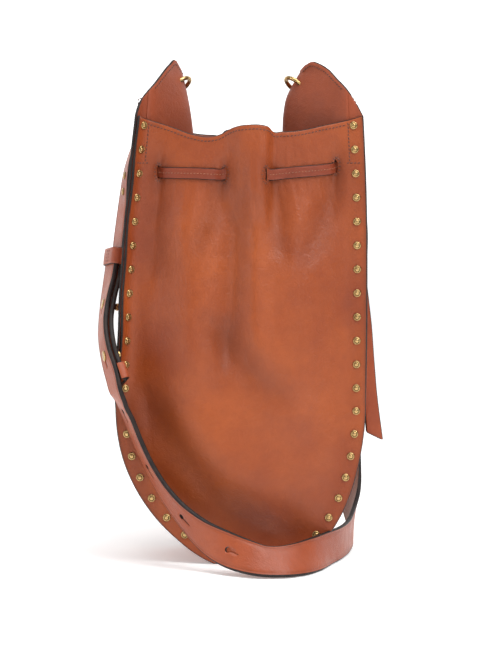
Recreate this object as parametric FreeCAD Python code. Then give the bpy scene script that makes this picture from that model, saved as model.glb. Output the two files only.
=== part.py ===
"""Leather bucket bag with riveted edge flanges, a drawstring and a shoulder strap.

Millimetres. Origin on the floor under the middle of the bag, +Z up, the front faces -Y and +X is to
the right of someone who looks at the front. The bag stands on the edges of its two flanges.
"""
import math
import os

from FreeCAD import Vector
import Part

# ---- Driving dimensions ------------------------------------------------------------------------
HALF_WIDTH = 97.5        # widest half-width of a panel, where its round bottom ends
ROUND_HEIGHT = 130.0     # height of the half-ellipse that the bottom is cut from
ROUND_CENTRE = 124.5     # height of that ellipse's centre, so that the base is a short flat edge
SIDE_TAPER = 9.5         # how much a panel's half-width shrinks up to its top corners
CORNER_HEIGHT = 351.0    # top corners of the panels
DIP_HEIGHT = 336.0       # lowest place of the panels' top edge
DIP_X = 24.0             # where that place is, either side of the middle
CREST = 7.0              # rise of the top edge in the middle, where the drawstring gathers it
HALF_DEPTH = 47.0        # middle of the bag to the outer face of a panel's flange
PANEL = 2.0              # leather of a panel
GUSSET = 2.0             # leather of the gussets
PLY_GAP = 0.4            # gap between two plies that are riveted together
FLANGE = 12.0            # width of the riveted flange
FRONT_BELLY = 22.0       # how far the front panel swells
BACK_BELLY = 18.0        # how far the back panel swells
RIDGE = 7.0              # how far the gathered middle stands out above the drawstring
BASE_X = 45.0            # where the base gusset meets the side gussets
SEAM_GAP = 0.15          # half the gap in those two seams
WALL_HALF = HALF_DEPTH - PANEL - PLY_GAP - GUSSET / 2    # to the middle of a gusset's flange
FOLD_ROUND = 0.12        # roundness of the fold's edge, as a share of the half-depth
FOLD_START = 190.0       # height where the side gussets start to fold inward
FOLD_FULL = 338.0        # height where they are folded all the way
LEFT_FOLD = (39.0, 46.0)     # left fold's distance from the middle, at FOLD_FULL and at the ring
RIGHT_FOLD = (30.0, 36.0)    # right fold's distance from the middle, at the same heights
RING_HEIGHT = 377.0      # height of both rings' centres
RING_RADIUS = 8.8        # to the middle of the ring's wire
RING_WIRE = 1.7          # radius of that wire
RING_SLACK = 1.1         # clearance of the ring's holes in the folded gusset
RING_OUTSIDE = 4.8       # how far outside the fold's edge a ring's centre is
LOOP_HALF = 3.6          # half the width of a strap end's loop on its ring
LOOP_INNER = 2.4         # inner radius of that loop
LOOP_WALL = 1.5          # its leather
LOOP_SLACK = 1.5         # clearance round that loop
STUD_INSET = 7.0         # rivet centres to the panel's edge
STUD_PITCH = 17.5        # rivet to rivet along the edge
STUD_RADIUS = 3.1        # rivet head
STUD_HEAD = 1.2          # height of the rivet head
POST_RADIUS = 1.1        # rivet post
CAP_RADIUS = 2.6         # rivet cap inside the flange
CAP_HEIGHT = 0.8         # its height
HEAD_SEAT = 0.1          # gap under a rivet head on a flange
SEAT = 0.25              # gap under a round head on a curved strap
LACE_HEIGHT = 309.3      # middle of the drawstring
LACE_WIDTH = 9.5         # its width
LACE = 1.6               # thickness of the drawstring
SLOT_X = (-69.0, -16.0, 17.0, 69.0)   # the drawstring's slots in each panel
SLOT_WIDTH = 10.5        # their width
SLOT_TALL = 12.0         # their height
STRAP_HALF = 12.5        # half the shoulder strap's width
STRAP = 3.6              # thickness of the strap, two plies glued and sewn
STRAP_STEP = 4.5         # from the middle of the strap's inner layer to that of its outer layer
KEEPER_WALL = 1.8        # leather of the keepers
KEEPER_TALL = 12.5       # a keeper's length along the strap
KEEPER_SLACK = 1.1       # clearance between a keeper and the strap
COLLAR_POST = 1.9        # neck of a collar stud
COLLAR_KNOB = 3.0        # its ball
COLLAR_BASE = 4.2        # head of its screw
SLIT_PITCH = 47.0        # spacing of the long strap's unused adjustment slits
SLIT_HOLE = 2.3          # round end of a slit
SLIT_LENGTH = 9.0        # its narrow part
SLIT_COUNT = 6
SLIT_FIRST = 56.5        # first slit's distance from the long strap's first station
TAIL = 2.0               # thickness of the drawstring's end tabs
FACING = 1.2             # thin facing leather inside the mouth
FACING_GAP = 0.3         # gap between a facing and the leather it lines
TAIL_Y = (2.5, 7.5)      # where the front and the back end tab hang, between the flanges
TAIL_X = 84.0            # where the drawstring ends above them

OUT = "parts"


# ---- Small helpers -----------------------------------------------------------------------------
def smooth(t):
    """0 below 0, 1 above 1, and a soft step between."""
    t = min(1.0, max(0.0, t))
    return t * t * (3 - 2 * t)


def spaced(low, high, count):
    return [low + (high - low) * i / (count - 1) for i in range(count)]


def save(name, shape):
    shape.exportStep(os.path.join(OUT, name + ".step"))


def grid_normal(grid, i, j):
    """Unit normal of a grid of points, rows crossed with columns."""
    along = grid[min(i + 1, len(grid) - 1)][j] - grid[max(i - 1, 0)][j]
    across = grid[i][min(j + 1, len(grid[0]) - 1)] - grid[i][max(j - 1, 0)]
    return along.cross(across).normalize()


def shifted(grid, distance):
    """The grid moved along its own normals."""
    return [
        [p + grid_normal(grid, i, j) * distance for j, p in enumerate(row)]
        for i, row in enumerate(grid)
    ]


def surface_through(grid):
    surface = Part.BSplineSurface()
    surface.interpolate(grid)
    return surface


def sheet_between(grid_a, grid_b):
    """Closed solid between two grids of points of the same size."""
    a, b = surface_through(grid_a), surface_through(grid_b)
    faces = [a.toShape(), b.toShape()]
    u0, u1, v0, v1 = a.bounds()
    s0, s1, t0, t1 = b.bounds()
    for u, s in ((u0, s0), (u1, s1)):
        faces.append(a.uIso(u).makeRuledSurface(b.uIso(s)).toShape())
    for v, t in ((v0, t0), (v1, t1)):
        faces.append(a.vIso(v).makeRuledSurface(b.vIso(t)).toShape())
    shell = Part.makeShell(faces)
    shell.sewShape()
    solid = Part.makeSolid(shell)
    if solid.Volume < 0:
        solid.reverse()
    return solid


def thick_sheet(grid, low, high):
    """Closed solid between the grid moved by low and by high along its normals."""
    return sheet_between(shifted(grid, low), shifted(grid, high))


# ---- The bag's outline and swell ---------------------------------------------------------------
def half_width(z):
    """Half-width of a panel at height z."""
    if z < ROUND_CENTRE:
        return HALF_WIDTH * math.sqrt(1 - ((ROUND_CENTRE - z) / ROUND_HEIGHT) ** 2)
    rise = (z - ROUND_CENTRE) / (CORNER_HEIGHT - ROUND_CENTRE)
    return HALF_WIDTH - SIDE_TAPER * rise * rise


def top_edge(x):
    """Height of a panel's top edge."""
    if abs(x) < DIP_X:
        return DIP_HEIGHT + CREST * (1 + math.cos(math.pi * x / DIP_X)) / 2
    corner = half_width(CORNER_HEIGHT)
    return DIP_HEIGHT + (CORNER_HEIGHT - DIP_HEIGHT) * (abs(x) - DIP_X) / (corner - DIP_X)


def swell(x, z, belly):
    """How far a panel stands out of its flange's plane. The flange itself stays flat."""
    inside = max(0.0, min(half_width(z) - abs(x), z) - FLANGE)
    spread = 1 - math.exp(-((inside / 40.0) ** 2))
    gathered = smooth((z - 170.0) / 120.0)
    ridge = RIDGE * math.exp(-((x / 18.0) ** 2)) * smooth((z - 200.0) / 90.0)
    return spread * belly * (1 - 0.55 * gathered) + ridge


PANEL_ROWS = (-1.5, 3, 8, 15, 25, 38, 54, 74, 98, 124.5, 152, 182, 214, 248, 280, 300, 318, 335, 351)
PANEL_COLUMNS = (-1, -0.93, -0.86, -0.78, -0.66, -0.52, -0.36, -0.2, -0.1,
                 0, 0.1, 0.2, 0.36, 0.52, 0.66, 0.78, 0.86, 0.93, 1)


def panel_point(u, row, side, belly):
    """A point of a panel's outer face. side is -1 for the front and 1 for the back."""
    x = u * half_width(row)
    z = row - (CORNER_HEIGHT - top_edge(x)) * (row / CORNER_HEIGHT) ** 3
    return Vector(x, side * (HALF_DEPTH + swell(x, z, belly)), z)


def panel_grid(side, belly, rows=PANEL_ROWS, columns=PANEL_COLUMNS):
    order = columns if side > 0 else columns[::-1]
    return [[panel_point(u, row, side, belly) for u in order] for row in rows]


# ---- Rivets ------------------------------------------------------------------------------------
def stud_line():
    """(x, z) of the rivets down the right half of a panel, from the top corner to the middle."""
    line = [(half_width(z) - STUD_INSET, z) for z in spaced(344.0, ROUND_CENTRE, 60)]
    for angle in spaced(89.0, 0.0, 180):
        t = math.radians(angle)
        z = ROUND_CENTRE - (ROUND_HEIGHT - STUD_INSET) * math.cos(t)
        line.append(((HALF_WIDTH - STUD_INSET) * math.sin(t), max(z, STUD_INSET)))
    found, since = [line[0]], 0.0
    for a, b in zip(line, line[1:]):
        since += math.dist(a, b)
        if since >= STUD_PITCH and b[0] > STUD_PITCH / 4:
            found.append(b)
            since = 0.0
    return found


def along_y(radius, y0, y1, x, z):
    return Part.makeCylinder(radius, abs(y1 - y0), Vector(x, min(y0, y1), z), Vector(0, 1, 0))


def studs(side_x, side_y):
    """One panel edge's rivets: a low domed head and a post that goes through both leathers."""
    face = side_y * (HALF_DEPTH + HEAD_SEAT)
    back = side_y * (HALF_DEPTH - PANEL - PLY_GAP - GUSSET - CAP_HEIGHT / 2)
    shapes = []
    for x, z in stud_line():
        head = along_y(STUD_RADIUS, face, face + side_y * STUD_HEAD, side_x * x, z)
        rim = [e for e in head.Edges if abs(e.CenterOfMass.y - face) > STUD_HEAD / 2]
        rim = [e for e in rim if e.Curve.TypeId == "Part::GeomCircle"]
        head = head.makeFillet(STUD_HEAD / 2, rim)
        shapes.append(head.fuse(along_y(POST_RADIUS, face, back, side_x * x, z)))
    return Part.makeCompound(shapes)


def stud_holes(side_y):
    """Cutters for every rivet post of one panel."""
    far = side_y * (HALF_DEPTH + STUD_HEAD)
    near = side_y * (HALF_DEPTH - 3 * PANEL)
    return Part.makeCompound([
        along_y(POST_RADIUS, far, near, side_x * x, z) for side_x in (-1, 1) for x, z in stud_line()
    ])


def rivet_caps(side_y):
    """The rivets' small caps on the inner side of the flange."""
    outer = side_y * (HALF_DEPTH - PANEL - PLY_GAP - GUSSET)
    inner = outer - side_y * CAP_HEIGHT
    caps = []
    for side_x in (-1, 1):
        for x, z in stud_line():
            cap = along_y(CAP_RADIUS, outer, inner, side_x * x, z)
            socket = along_y(POST_RADIUS, outer, (outer + inner) / 2, side_x * x, z)
            caps.append(cap.cut(socket))
    return Part.makeCompound(caps)


# ---- Panels ------------------------------------------------------------------------------------
def lace_slots(side_y, belly):
    """Cutters for the four upright slots that the drawstring is threaded through."""
    boxes = []
    for x in SLOT_X:
        y = side_y * (HALF_DEPTH + swell(x, LACE_HEIGHT, belly))
        corner = Vector(x - SLOT_WIDTH / 2, y - 8.0, LACE_HEIGHT - SLOT_TALL / 2)
        boxes.append(Part.makeBox(SLOT_WIDTH, 16.0, SLOT_TALL, corner))
    return Part.makeCompound(boxes)


def panel(side_y, belly):
    skin = thick_sheet(panel_grid(side_y, belly), 0.0, -PANEL)
    wide = 4 * HALF_WIDTH
    below = Part.makeBox(wide, wide, FLANGE, Vector(-wide / 2, -wide / 2, -FLANGE))
    return skin.cut(below).cut(stud_holes(side_y)).cut(lace_slots(side_y, belly))


def mouth_facing(side_y, belly):
    """Thin band sewn inside the top edge of a panel."""
    rows = (331, 336, 341, 346, 350.5)
    columns = tuple(u * 0.84 for u in PANEL_COLUMNS)
    grid = panel_grid(side_y, belly, rows, columns)
    return thick_sheet(grid, -PANEL - FACING_GAP, -PANEL - FACING_GAP - FACING)


# ---- Gussets -----------------------------------------------------------------------------------
EAR_COLUMNS = (-1, -0.86, -0.72, -0.56, -0.4, -0.28, -0.17, -0.08,
               0, 0.08, 0.17, 0.28, 0.4, 0.56, 0.72, 0.86, 1)


def fold_x(z, fold):
    """Distance from the middle to a folded gusset's inner edge at height z."""
    wall = half_width(z) - FLANGE
    deep = fold[0] + (fold[1] - fold[0]) * max(0.0, z - FOLD_FULL) / (RING_HEIGHT - FOLD_FULL)
    return wall + (deep - wall) * smooth((z - FOLD_START) / (FOLD_FULL - FOLD_START))


def ear_top(f):
    """Height of the gusset's top edge. f runs from -1 at the front flange to 1 at the back one."""
    f = abs(f)
    curve = CORNER_HEIGHT + 45.0 * math.sin(math.pi / 2 * min(1.0, (1 - f) / 0.84)) ** 0.85
    return curve - 11.0 * smooth((0.16 - f) / 0.16)


def wall_point(row, f, fold):
    """A point of the right gusset's outer face. row is (x, z) on the wall, at its flange."""
    x, z = row
    if z > FOLD_START:
        lift = (z - FOLD_START) / (CORNER_HEIGHT - FOLD_START)
        z = z + (ear_top(f) - CORNER_HEIGHT) * smooth(lift) * lift
        bend = (math.hypot(f, FOLD_ROUND) - FOLD_ROUND) / (math.hypot(1, FOLD_ROUND) - FOLD_ROUND)
        x = fold_x(z, fold) + (x - fold_x(z, fold)) * bend
    return x, z


def side_rows():
    """(x, z) of the side wall from the base seam up to the top corner."""
    start = math.degrees(math.asin((BASE_X + SEAM_GAP) / (HALF_WIDTH - FLANGE)))
    rows = []
    for angle in spaced(start, 90.0, 8):
        t = math.radians(angle)
        z = ROUND_CENTRE - (ROUND_HEIGHT - FLANGE) * math.cos(t)
        rows.append(((HALF_WIDTH - FLANGE) * math.sin(t), z))
    for z in (148, 170, 190, 210, 230, 250, 270, 288, 304, 318, 330, 341, CORNER_HEIGHT):
        rows.append((half_width(z) - FLANGE, z))
    return rows


def edge_rows():
    """(x, z) of the flange's outer edge beside each of side_rows."""
    rows = []
    for x, z in side_rows():
        if z < ROUND_CENTRE:
            t = math.atan2(x / (HALF_WIDTH - FLANGE), (ROUND_CENTRE - z) / (ROUND_HEIGHT - FLANGE))
            rows.append((HALF_WIDTH * math.sin(t), ROUND_CENTRE - ROUND_HEIGHT * math.cos(t)))
        else:
            rows.append((half_width(z), z))
    return rows


def flange_plate(inner, outer, side_x, side_y):
    """Flat flange between two lines of (x, z) points, just inside a panel."""
    y = side_y * (HALF_DEPTH - PANEL - PLY_GAP)
    curves = []
    for line in (inner, outer):
        curve = Part.BSplineCurve()
        curve.interpolate([Vector(side_x * x, y, z) for x, z in line])
        curves.append(curve.toShape())
    face = Part.makeRuledSurface(curves[0], curves[1])
    return face.extrude(Vector(0, -side_y * GUSSET, 0))


def side_wall(side_x, fold, low, high, rows, columns=EAR_COLUMNS):
    order = columns if side_x < 0 else columns[::-1]
    grid = []
    for row in rows:
        line = []
        for f in order:
            x, z = wall_point(row, f, fold)
            line.append(Vector(side_x * x, f * WALL_HALF, z))
        grid.append(line)
    return thick_sheet(grid, low, high)


def ring_clearance(ring):
    """Cutters for a ring and for the strap's loop on it."""
    foot = ring.loop - ring.across * (LOOP_HALF + LOOP_SLACK)
    radius = LOOP_INNER + LOOP_WALL + LOOP_SLACK
    loop = Part.makeCylinder(radius, 2 * (LOOP_HALF + LOOP_SLACK), foot, ring.across)
    return Part.makeCompound([ring_torus(ring, RING_WIRE + RING_SLACK), loop])


def side_gusset(side_x, fold, ring):
    """Side wall with its folded ear, and the two flanges that are riveted to the panels."""
    wall = side_wall(side_x, fold, GUSSET / 2, -GUSSET / 2, side_rows())
    body = wall.fuse(flange_plate(side_rows(), edge_rows(), side_x, -1))
    body = body.fuse(flange_plate(side_rows(), edge_rows(), side_x, 1))
    return body.cut(stud_holes(-1)).cut(stud_holes(1)).cut(ring_clearance(ring))


def base_gusset():
    """Bottom strip between the side gussets, with its own two flanges."""
    inner, outer = [], []
    reach = BASE_X - SEAM_GAP
    for share in spaced(-1.0, 1.0, 17):
        x = share * reach
        z = ROUND_CENTRE - (ROUND_HEIGHT - FLANGE) * math.sqrt(1 - (x / (HALF_WIDTH - FLANGE)) ** 2)
        inner.append((x, max(z, FLANGE)))
        t = math.asin(x / (HALF_WIDTH - FLANGE))
        outer.append((HALF_WIDTH * math.sin(t), max(0.4, ROUND_CENTRE - ROUND_HEIGHT * math.cos(t))))
    grid = [[Vector(x, y, z) for y in spaced(-WALL_HALF, WALL_HALF, 5)] for x, z in inner]
    body = thick_sheet(grid, GUSSET / 2, -GUSSET / 2)
    for side_y in (-1, 1):
        body = body.fuse(flange_plate(inner, outer, 1, side_y))
    return body.cut(stud_holes(-1)).cut(stud_holes(1))


def ear_facing(side_x, fold, ring):
    """Thin facing sewn inside a folded ear."""
    rows = [(half_width(z) - FLANGE, z) for z in (312, 322, 332, 342, 350.5)]
    columns = tuple(f * 0.93 for f in EAR_COLUMNS)
    near = -GUSSET / 2 - FACING_GAP
    facing = side_wall(side_x, fold, near, near - FACING, rows, columns)
    return facing.cut(ring_clearance(ring))


# ---- Rings -------------------------------------------------------------------------------------
class Ring:
    """A round ring through a folded ear: its centre, its plane and the way to its strap."""

    def __init__(self, x, towards, across):
        self.centre = Vector(x, 0, RING_HEIGHT)
        self.out = Vector(*towards).normalize()
        self.across = Vector(*across)
        self.across = (self.across - self.out * self.across.dot(self.out)).normalize()
        self.normal = self.out.cross(self.across)
        self.loop = self.centre + self.out * (RING_RADIUS - 0.5)


LEFT_RING = Ring(-LEFT_FOLD[1] - RING_OUTSIDE, (-0.8, 0.0, -0.6), (-0.2, -0.94, 0.27))
RIGHT_RING = Ring(RIGHT_FOLD[1] + RING_OUTSIDE, (0.8, 0.0, -0.6), (0.2, -0.94, 0.27))


def ring_torus(ring, wire):
    return Part.makeTorus(RING_RADIUS, wire, ring.centre, ring.normal)


def strap_loop(ring):
    """The narrow loop that a strap end makes around its ring."""
    foot = ring.loop - ring.across * LOOP_HALF
    outer = Part.makeCylinder(LOOP_INNER + LOOP_WALL, 2 * LOOP_HALF, foot, ring.across)
    return outer, Part.makeCylinder(LOOP_INNER, 2 * LOOP_HALF, foot, ring.across)


# ---- Shoulder strap ----------------------------------------------------------------------------
# A station is a point of the strap's middle line, the way its outer face looks, and its half-width.
SHORT_RUN = [
    ((-59.5, 0.0, 369.5), (-0.6, 0.0, 0.8), 3.6),
    ((-61.6, 0.0, 367.0), (-0.6, 0.0, 0.8), 4.0),
    ((-69.0, 0.0, 357.5), (-0.7, 0.0, 0.7), 8.0),
    ((-79.5, -1.3, 344.0), (-0.85, 0.0, 0.5), STRAP_HALF),
    ((-87.5, -2.6, 328.5), (-0.95, -0.1, 0.3), STRAP_HALF),
    ((-91.3, -4.0, 316.0), (-0.96, -0.15, 0.25), STRAP_HALF),
    ((-93.3, -5.0, 305.0), (-0.96, -0.2, 0.2), STRAP_HALF),
    ((-94.6, -6.0, 292.5), (-0.95, -0.25, 0.2), STRAP_HALF),
    ((-95.8, -7.0, 280.0), (-0.94, -0.3, 0.18), STRAP_HALF),
    ((-97.3, -9.0, 267.0), (-0.94, -0.32, 0.15), STRAP_HALF),
    ((-98.6, -11.0, 256.0), (-0.94, -0.33, 0.12), STRAP_HALF),
    ((-99.5, -13.2, 245.0), (-0.94, -0.33, 0.1), STRAP_HALF),
    ((-102.5, -18.0, 222.0), (-0.94, -0.34, 0.1), STRAP_HALF),
    ((-105.2, -29.5, 203.0), (-0.94, -0.34, 0.0), STRAP_HALF),
    ((-106.0, -43.0, 185.0), (-0.94, -0.34, -0.1), STRAP_HALF),
    ((-102.5, -55.5, 166.0), (-0.92, -0.38, -0.2), STRAP_HALF),
    ((-98.0, -61.5, 152.0), (-0.9, -0.42, -0.2), STRAP_HALF),
    ((-95.2, -64.0, 144.0), (-0.88, -0.46, -0.2), STRAP_HALF),
]
LONG_START = 10          # the long strap is shaped from beside this station of the short one
LONG_TRIM = 11.2         # and cut off this far on, inside the upper keeper
LEFT_RIVETS = (6, 7)     # stations of the short strap with a rivet
RIGHT_RIVETS = (36, 37)  # stations of the long strap with a rivet
COLLARS = (13, 15)       # stations of the short strap with a collar stud
UPPER_KEEPER = (11, 0.2)    # station of the short strap that it starts from, and how far to the next
LOWER_KEEPER = (16, 0.2)
LONG_RUN = [
    ((-98.2, -66.2, 137.0), (-0.93, -0.35, -0.15), STRAP_HALF),
    ((-94.6, -64.0, 129.0), (-0.93, -0.3, -0.2), STRAP_HALF),
    ((-89.6, -62.2, 117.5), (-0.92, -0.3, -0.25), STRAP_HALF),
    ((-82.6, -62.0, 99.5), (-0.9, -0.3, -0.32), STRAP_HALF),
    ((-73.6, -62.8, 80.0), (-0.86, -0.32, -0.4), STRAP_HALF),
    ((-62.3, -65.0, 61.0), (-0.74, -0.42, -0.53), STRAP_HALF),
    ((-47.5, -70.5, 43.0), (-0.54, -0.62, -0.57), STRAP_HALF),
    ((-31.0, -80.0, 29.0), (-0.34, -0.86, -0.33), STRAP_HALF),
    ((-13.5, -90.0, 20.0), (-0.12, -0.97, 0.1), STRAP_HALF),
    ((2.0, -96.5, 15.0), (0.0, -0.9, 0.4), STRAP_HALF),
    ((13.5, -99.5, 12.4), (0.0, -0.78, 0.6), STRAP_HALF),
    ((28.6, -98.5, 11.6), (0.1, -0.75, 0.6), STRAP_HALF),
    ((41.5, -91.0, 11.9), (0.4, -0.72, 0.5), STRAP_HALF),
    ((54.0, -76.0, 12.8), (0.65, -0.65, 0.3), STRAP_HALF),
    ((66.0, -51.0, 13.4), (0.85, -0.5, 0.1), STRAP_HALF),
    ((77.0, -24.0, 13.4), (0.95, -0.3, 0.0), STRAP_HALF),
    ((84.5, 6.0, 13.6), (1.0, -0.1, 0.0), STRAP_HALF),
    ((88.5, 33.0, 15.4), (1.0, 0.05, 0.0), STRAP_HALF),
    ((90.5, 60.0, 22.5), (0.95, 0.25, -0.1), STRAP_HALF),
    ((89.5, 81.0, 40.0), (0.75, 0.6, -0.25), STRAP_HALF),
    ((87.5, 93.0, 62.0), (0.5, 0.85, -0.2), STRAP_HALF),
    ((85.5, 100.5, 88.0), (0.25, 0.97, -0.1), STRAP_HALF),
    ((84.5, 103.0, 125.0), (0.15, 1.0, 0.0), STRAP_HALF),
    ((86.0, 97.0, 168.0), (0.3, 0.95, 0.1), STRAP_HALF),
    ((90.5, 83.5, 208.0), (0.55, 0.85, 0.1), STRAP_HALF),
    ((94.5, 68.0, 240.0), (0.85, 0.5, 0.1), STRAP_HALF),
    ((98.2, 52.0, 266.0), (1.0, 0.12, 0.05), STRAP_HALF),
    ((98.0, 43.0, 278.0), (1.0, 0.0, 0.08), STRAP_HALF),
    ((96.6, 34.5, 290.0), (1.0, 0.0, 0.15), STRAP_HALF),
    ((90.6, 21.5, 311.0), (0.97, 0.0, 0.3), STRAP_HALF),
    ((85.6, 15.8, 320.8), (0.93, 0.0, 0.38), STRAP_HALF),
    ((79.8, 11.0, 330.0), (0.9, 0.0, 0.45), STRAP_HALF),
    ((68.5, 4.0, 345.0), (0.8, 0.0, 0.6), STRAP_HALF),
    ((59.0, 1.0, 357.5), (0.7, 0.0, 0.7), 8.0),
    ((51.6, 0.0, 367.0), (0.6, 0.0, 0.8), 4.0),
    ((49.5, 0.0, 369.5), (0.6, 0.0, 0.8), 3.6),
]


def strap_frames(run):
    """(point, way across, way out, half-width) at each station, squared to the strap's direction."""
    points = [Vector(*p) for p, _, _ in run]
    frames = []
    for i, (_, face, half) in enumerate(run):
        along = (points[min(i + 1, len(run) - 1)] - points[max(i - 1, 0)]).normalize()
        across = Vector(*face).cross(along).normalize()
        frames.append((points[i], across, along.cross(across), half))
    return frames


def strap_sheet(frames):
    grid = [[p + across * (half * s) for s in (-1, 0, 1)] for p, across, _, half in frames]
    return thick_sheet(grid, STRAP / 2, -STRAP / 2)


def long_frames():
    """The long strap: outside the short one at first, and then on its own."""
    shared = strap_frames(SHORT_RUN)[LONG_START:-1]
    lifted = [(tuple(p + out * STRAP_STEP), tuple(out), half) for p, _, out, half in shared]
    return strap_frames(lifted + LONG_RUN)


def on_strap(frames, index, share):
    """The strap's frame part of the way from station index to the next."""
    a, b = frames[index], frames[index + 1]
    point = a[0] + (b[0] - a[0]) * share
    across = (a[1] + (b[1] - a[1]) * share).normalize()
    along = (b[0] - a[0]).normalize()
    across = (across - along * across.dot(along)).normalize()
    return point, across, along, along.cross(across)


def block(point, across, along, out, width, length, low, high):
    """Box around a strap's middle line: width across it, length along it, from low to high outward."""
    corner = point - across * (width / 2) - along * (length / 2) + out * low
    side, end = across * width, along * length
    base = Part.makePolygon([corner, corner + side, corner + side + end, corner + end, corner])
    return Part.Face(base).extrude(out * (high - low))


def keeper(point, across, along, out, low, high):
    """Leather loop around whatever lies from low to high along out."""
    frame = (point, across, along, out)
    wide = 2 * (STRAP_HALF + KEEPER_SLACK)
    low, high = low - KEEPER_SLACK, high + KEEPER_SLACK
    outer = block(*frame, wide + 2 * KEEPER_WALL, KEEPER_TALL, low - KEEPER_WALL, high + KEEPER_WALL)
    return outer.cut(block(*frame, wide, 2 * KEEPER_TALL, low, high))


def fixed_keeper(point, across, along, out):
    """Leather band round the short strap, sewn to the long strap's inner face on both sides."""
    frame = (point, across, along, out)
    wide = 2 * (STRAP_HALF + KEEPER_SLACK)
    low, high = -STRAP / 2 - KEEPER_SLACK, STRAP_STEP - STRAP / 2 - SEAT
    outer = block(*frame, wide + 2 * KEEPER_WALL, KEEPER_TALL, low - KEEPER_WALL, high)
    return outer.cut(block(*frame, wide, 2 * KEEPER_TALL, low, high + KEEPER_WALL))



def cylinder_on(point, out, radius, low, high):
    return Part.makeCylinder(radius, high - low, point + out * low, out)


def collar_stud(point, out):
    """Round-headed stud: screwed base on the outer strap, neck through both, knob on the inner side."""
    inner_face = -STRAP / 2
    outer_face = STRAP_STEP + STRAP / 2
    neck = cylinder_on(point, out, COLLAR_POST, inner_face - 2.6, outer_face)
    knob = Part.makeSphere(COLLAR_KNOB, point + out * (inner_face - 3.2))
    rim = cylinder_on(point, out, COLLAR_KNOB, inner_face - 0.9, inner_face - 0.2)
    return neck.fuse(knob).fuse(rim)


def collar_screw(point, out):
    """Slotted head of the screw that holds a collar stud, on the outer strap."""
    seat = STRAP_STEP + STRAP / 2 + SEAT
    head = cylinder_on(point, out, COLLAR_BASE, seat, seat + 1.2)
    up = Vector(0, 0, 1)
    slot = block(point, out.cross(up).normalize(), up, out, 6.0, 0.9, seat + 0.7, seat + 2.0)
    return head.cut(slot)



def strap_slits(frames):
    """Keyhole cutters along the long strap."""
    cutters = []
    wanted = [SLIT_FIRST + SLIT_PITCH * i for i in range(SLIT_COUNT)]
    gone = 0.0
    for i in range(len(frames) - 1):
        step = (frames[i + 1][0] - frames[i][0]).Length
        for place in wanted:
            if gone <= place < gone + step:
                point, across, along, out = on_strap(frames, i, (place - gone) / step)
                hole = cylinder_on(point, out, SLIT_HOLE, -STRAP, STRAP)
                middle = point + along * SLIT_LENGTH / 2
                slit = block(middle, across, along, out, 1.0, SLIT_LENGTH, -STRAP, STRAP)
                cutters.append(hole.fuse(slit))
        gone += step
    return Part.makeCompound(cutters)


def strap_rivets(frames, stations):
    """A pair of rivets through a strap end, each with a head on both faces."""
    low, high = -STRAP / 2 - SEAT, STRAP / 2 + SEAT
    shapes = []
    for index in stations:
        point, _, out, _ = frames[index]
        post = cylinder_on(point, out, POST_RADIUS, low, high)
        for face, tip in ((high, high + STUD_HEAD), (low - STUD_HEAD, low)):
            post = post.fuse(cylinder_on(point, out, STUD_RADIUS, face, tip))
        shapes.append(post)
    return Part.makeCompound(shapes)


def post_holes(frames, stations, radius):
    """Cutters for the posts of rivets or collar studs, through both straps."""
    reach = STRAP_STEP + STRAP
    return Part.makeCompound([
        cylinder_on(frames[index][0], frames[index][2], radius, -reach, reach) for index in stations
    ])


# ---- Drawstring --------------------------------------------------------------------------------
def lace_front(x, belly):
    """How far out the drawstring lies where it runs in front of a panel."""
    return HALF_DEPTH + swell(x, LACE_HEIGHT, belly) + LACE / 2 + 0.4


def threaded(side_y, belly):
    """(x, y) of the drawstring along one panel, from right to left."""
    tucked = HALF_DEPTH + swell(0, LACE_HEIGHT, belly) - PANEL - LACE / 2 - 2.6
    right = [(x, lace_front(x, belly)) for x in (63.0, 52.0, 40.0, 30.0, 22.5)]
    left = [(x, lace_front(x, belly)) for x in (-21.5, -30.0, -40.0, -52.0, -63.0)]
    middle = [(11.0, tucked), (0.0, tucked), (-10.0, tucked)]
    line = [(70.0, 44.2)] + right + middle + left + [(-70.0, 44.2)]
    return [(x, side_y * y) for x, y in line]



def lace_line():
    """(x, y) of the whole drawstring: right side, front, round the left fold, back, right side."""
    start = [(TAIL_X, TAIL_Y[0] + 1.5), (TAIL_X - 0.5, -9.0), (81.0, -24.0), (75.5, -36.0)]
    left = fold_x(LACE_HEIGHT, LEFT_FOLD) - GUSSET / 2 - LACE / 2 - 1.8
    around = [(-left - 15.0, -23.0), (-left - 3.5, -9.0), (-left + 1.0, 0.0), (-left - 3.5, 9.0),
              (-left - 15.0, 23.0)]
    end = [(75.5, 36.0), (81.0, 26.0), (TAIL_X - 0.5, 16.0), (TAIL_X, TAIL_Y[1] - 1.5)]
    return start + threaded(-1, FRONT_BELLY) + around + threaded(1, BACK_BELLY)[::-1] + end


def drawstring():
    heights = spaced(LACE_HEIGHT - LACE_WIDTH / 2, LACE_HEIGHT + LACE_WIDTH / 2, 3)
    grid = [[Vector(x, y, z) for z in heights] for x, y in lace_line()]
    return thick_sheet(grid, LACE / 2, -LACE / 2)


def lace_exits():
    """Cutters for the two openings where the drawstring leaves the right gusset."""
    boxes = []
    for side_y in (-1, 1):
        corner = Vector(70.0, side_y * 36.0 - 7.0, LACE_HEIGHT - SLOT_TALL / 2)
        boxes.append(Part.makeBox(12.0, 14.0, SLOT_TALL, corner))
    return Part.makeCompound(boxes)


TAIL_TOP = LACE_HEIGHT - LACE_WIDTH / 2 - 1.0
TAIL_LEFT = ((80.0, TAIL_TOP), (86.5, 252.0), (90.8, 215.0), (93.4, 180.0), (96.4, 140.0), (99.2, 99.5))
TAIL_RIGHT = ((111.8, 93.0), (107.0, 128.0), (104.2, 160.0), (102.0, 186.0), (98.6, 215.0),
              (95.0, 252.0), (88.0, TAIL_TOP))


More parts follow.
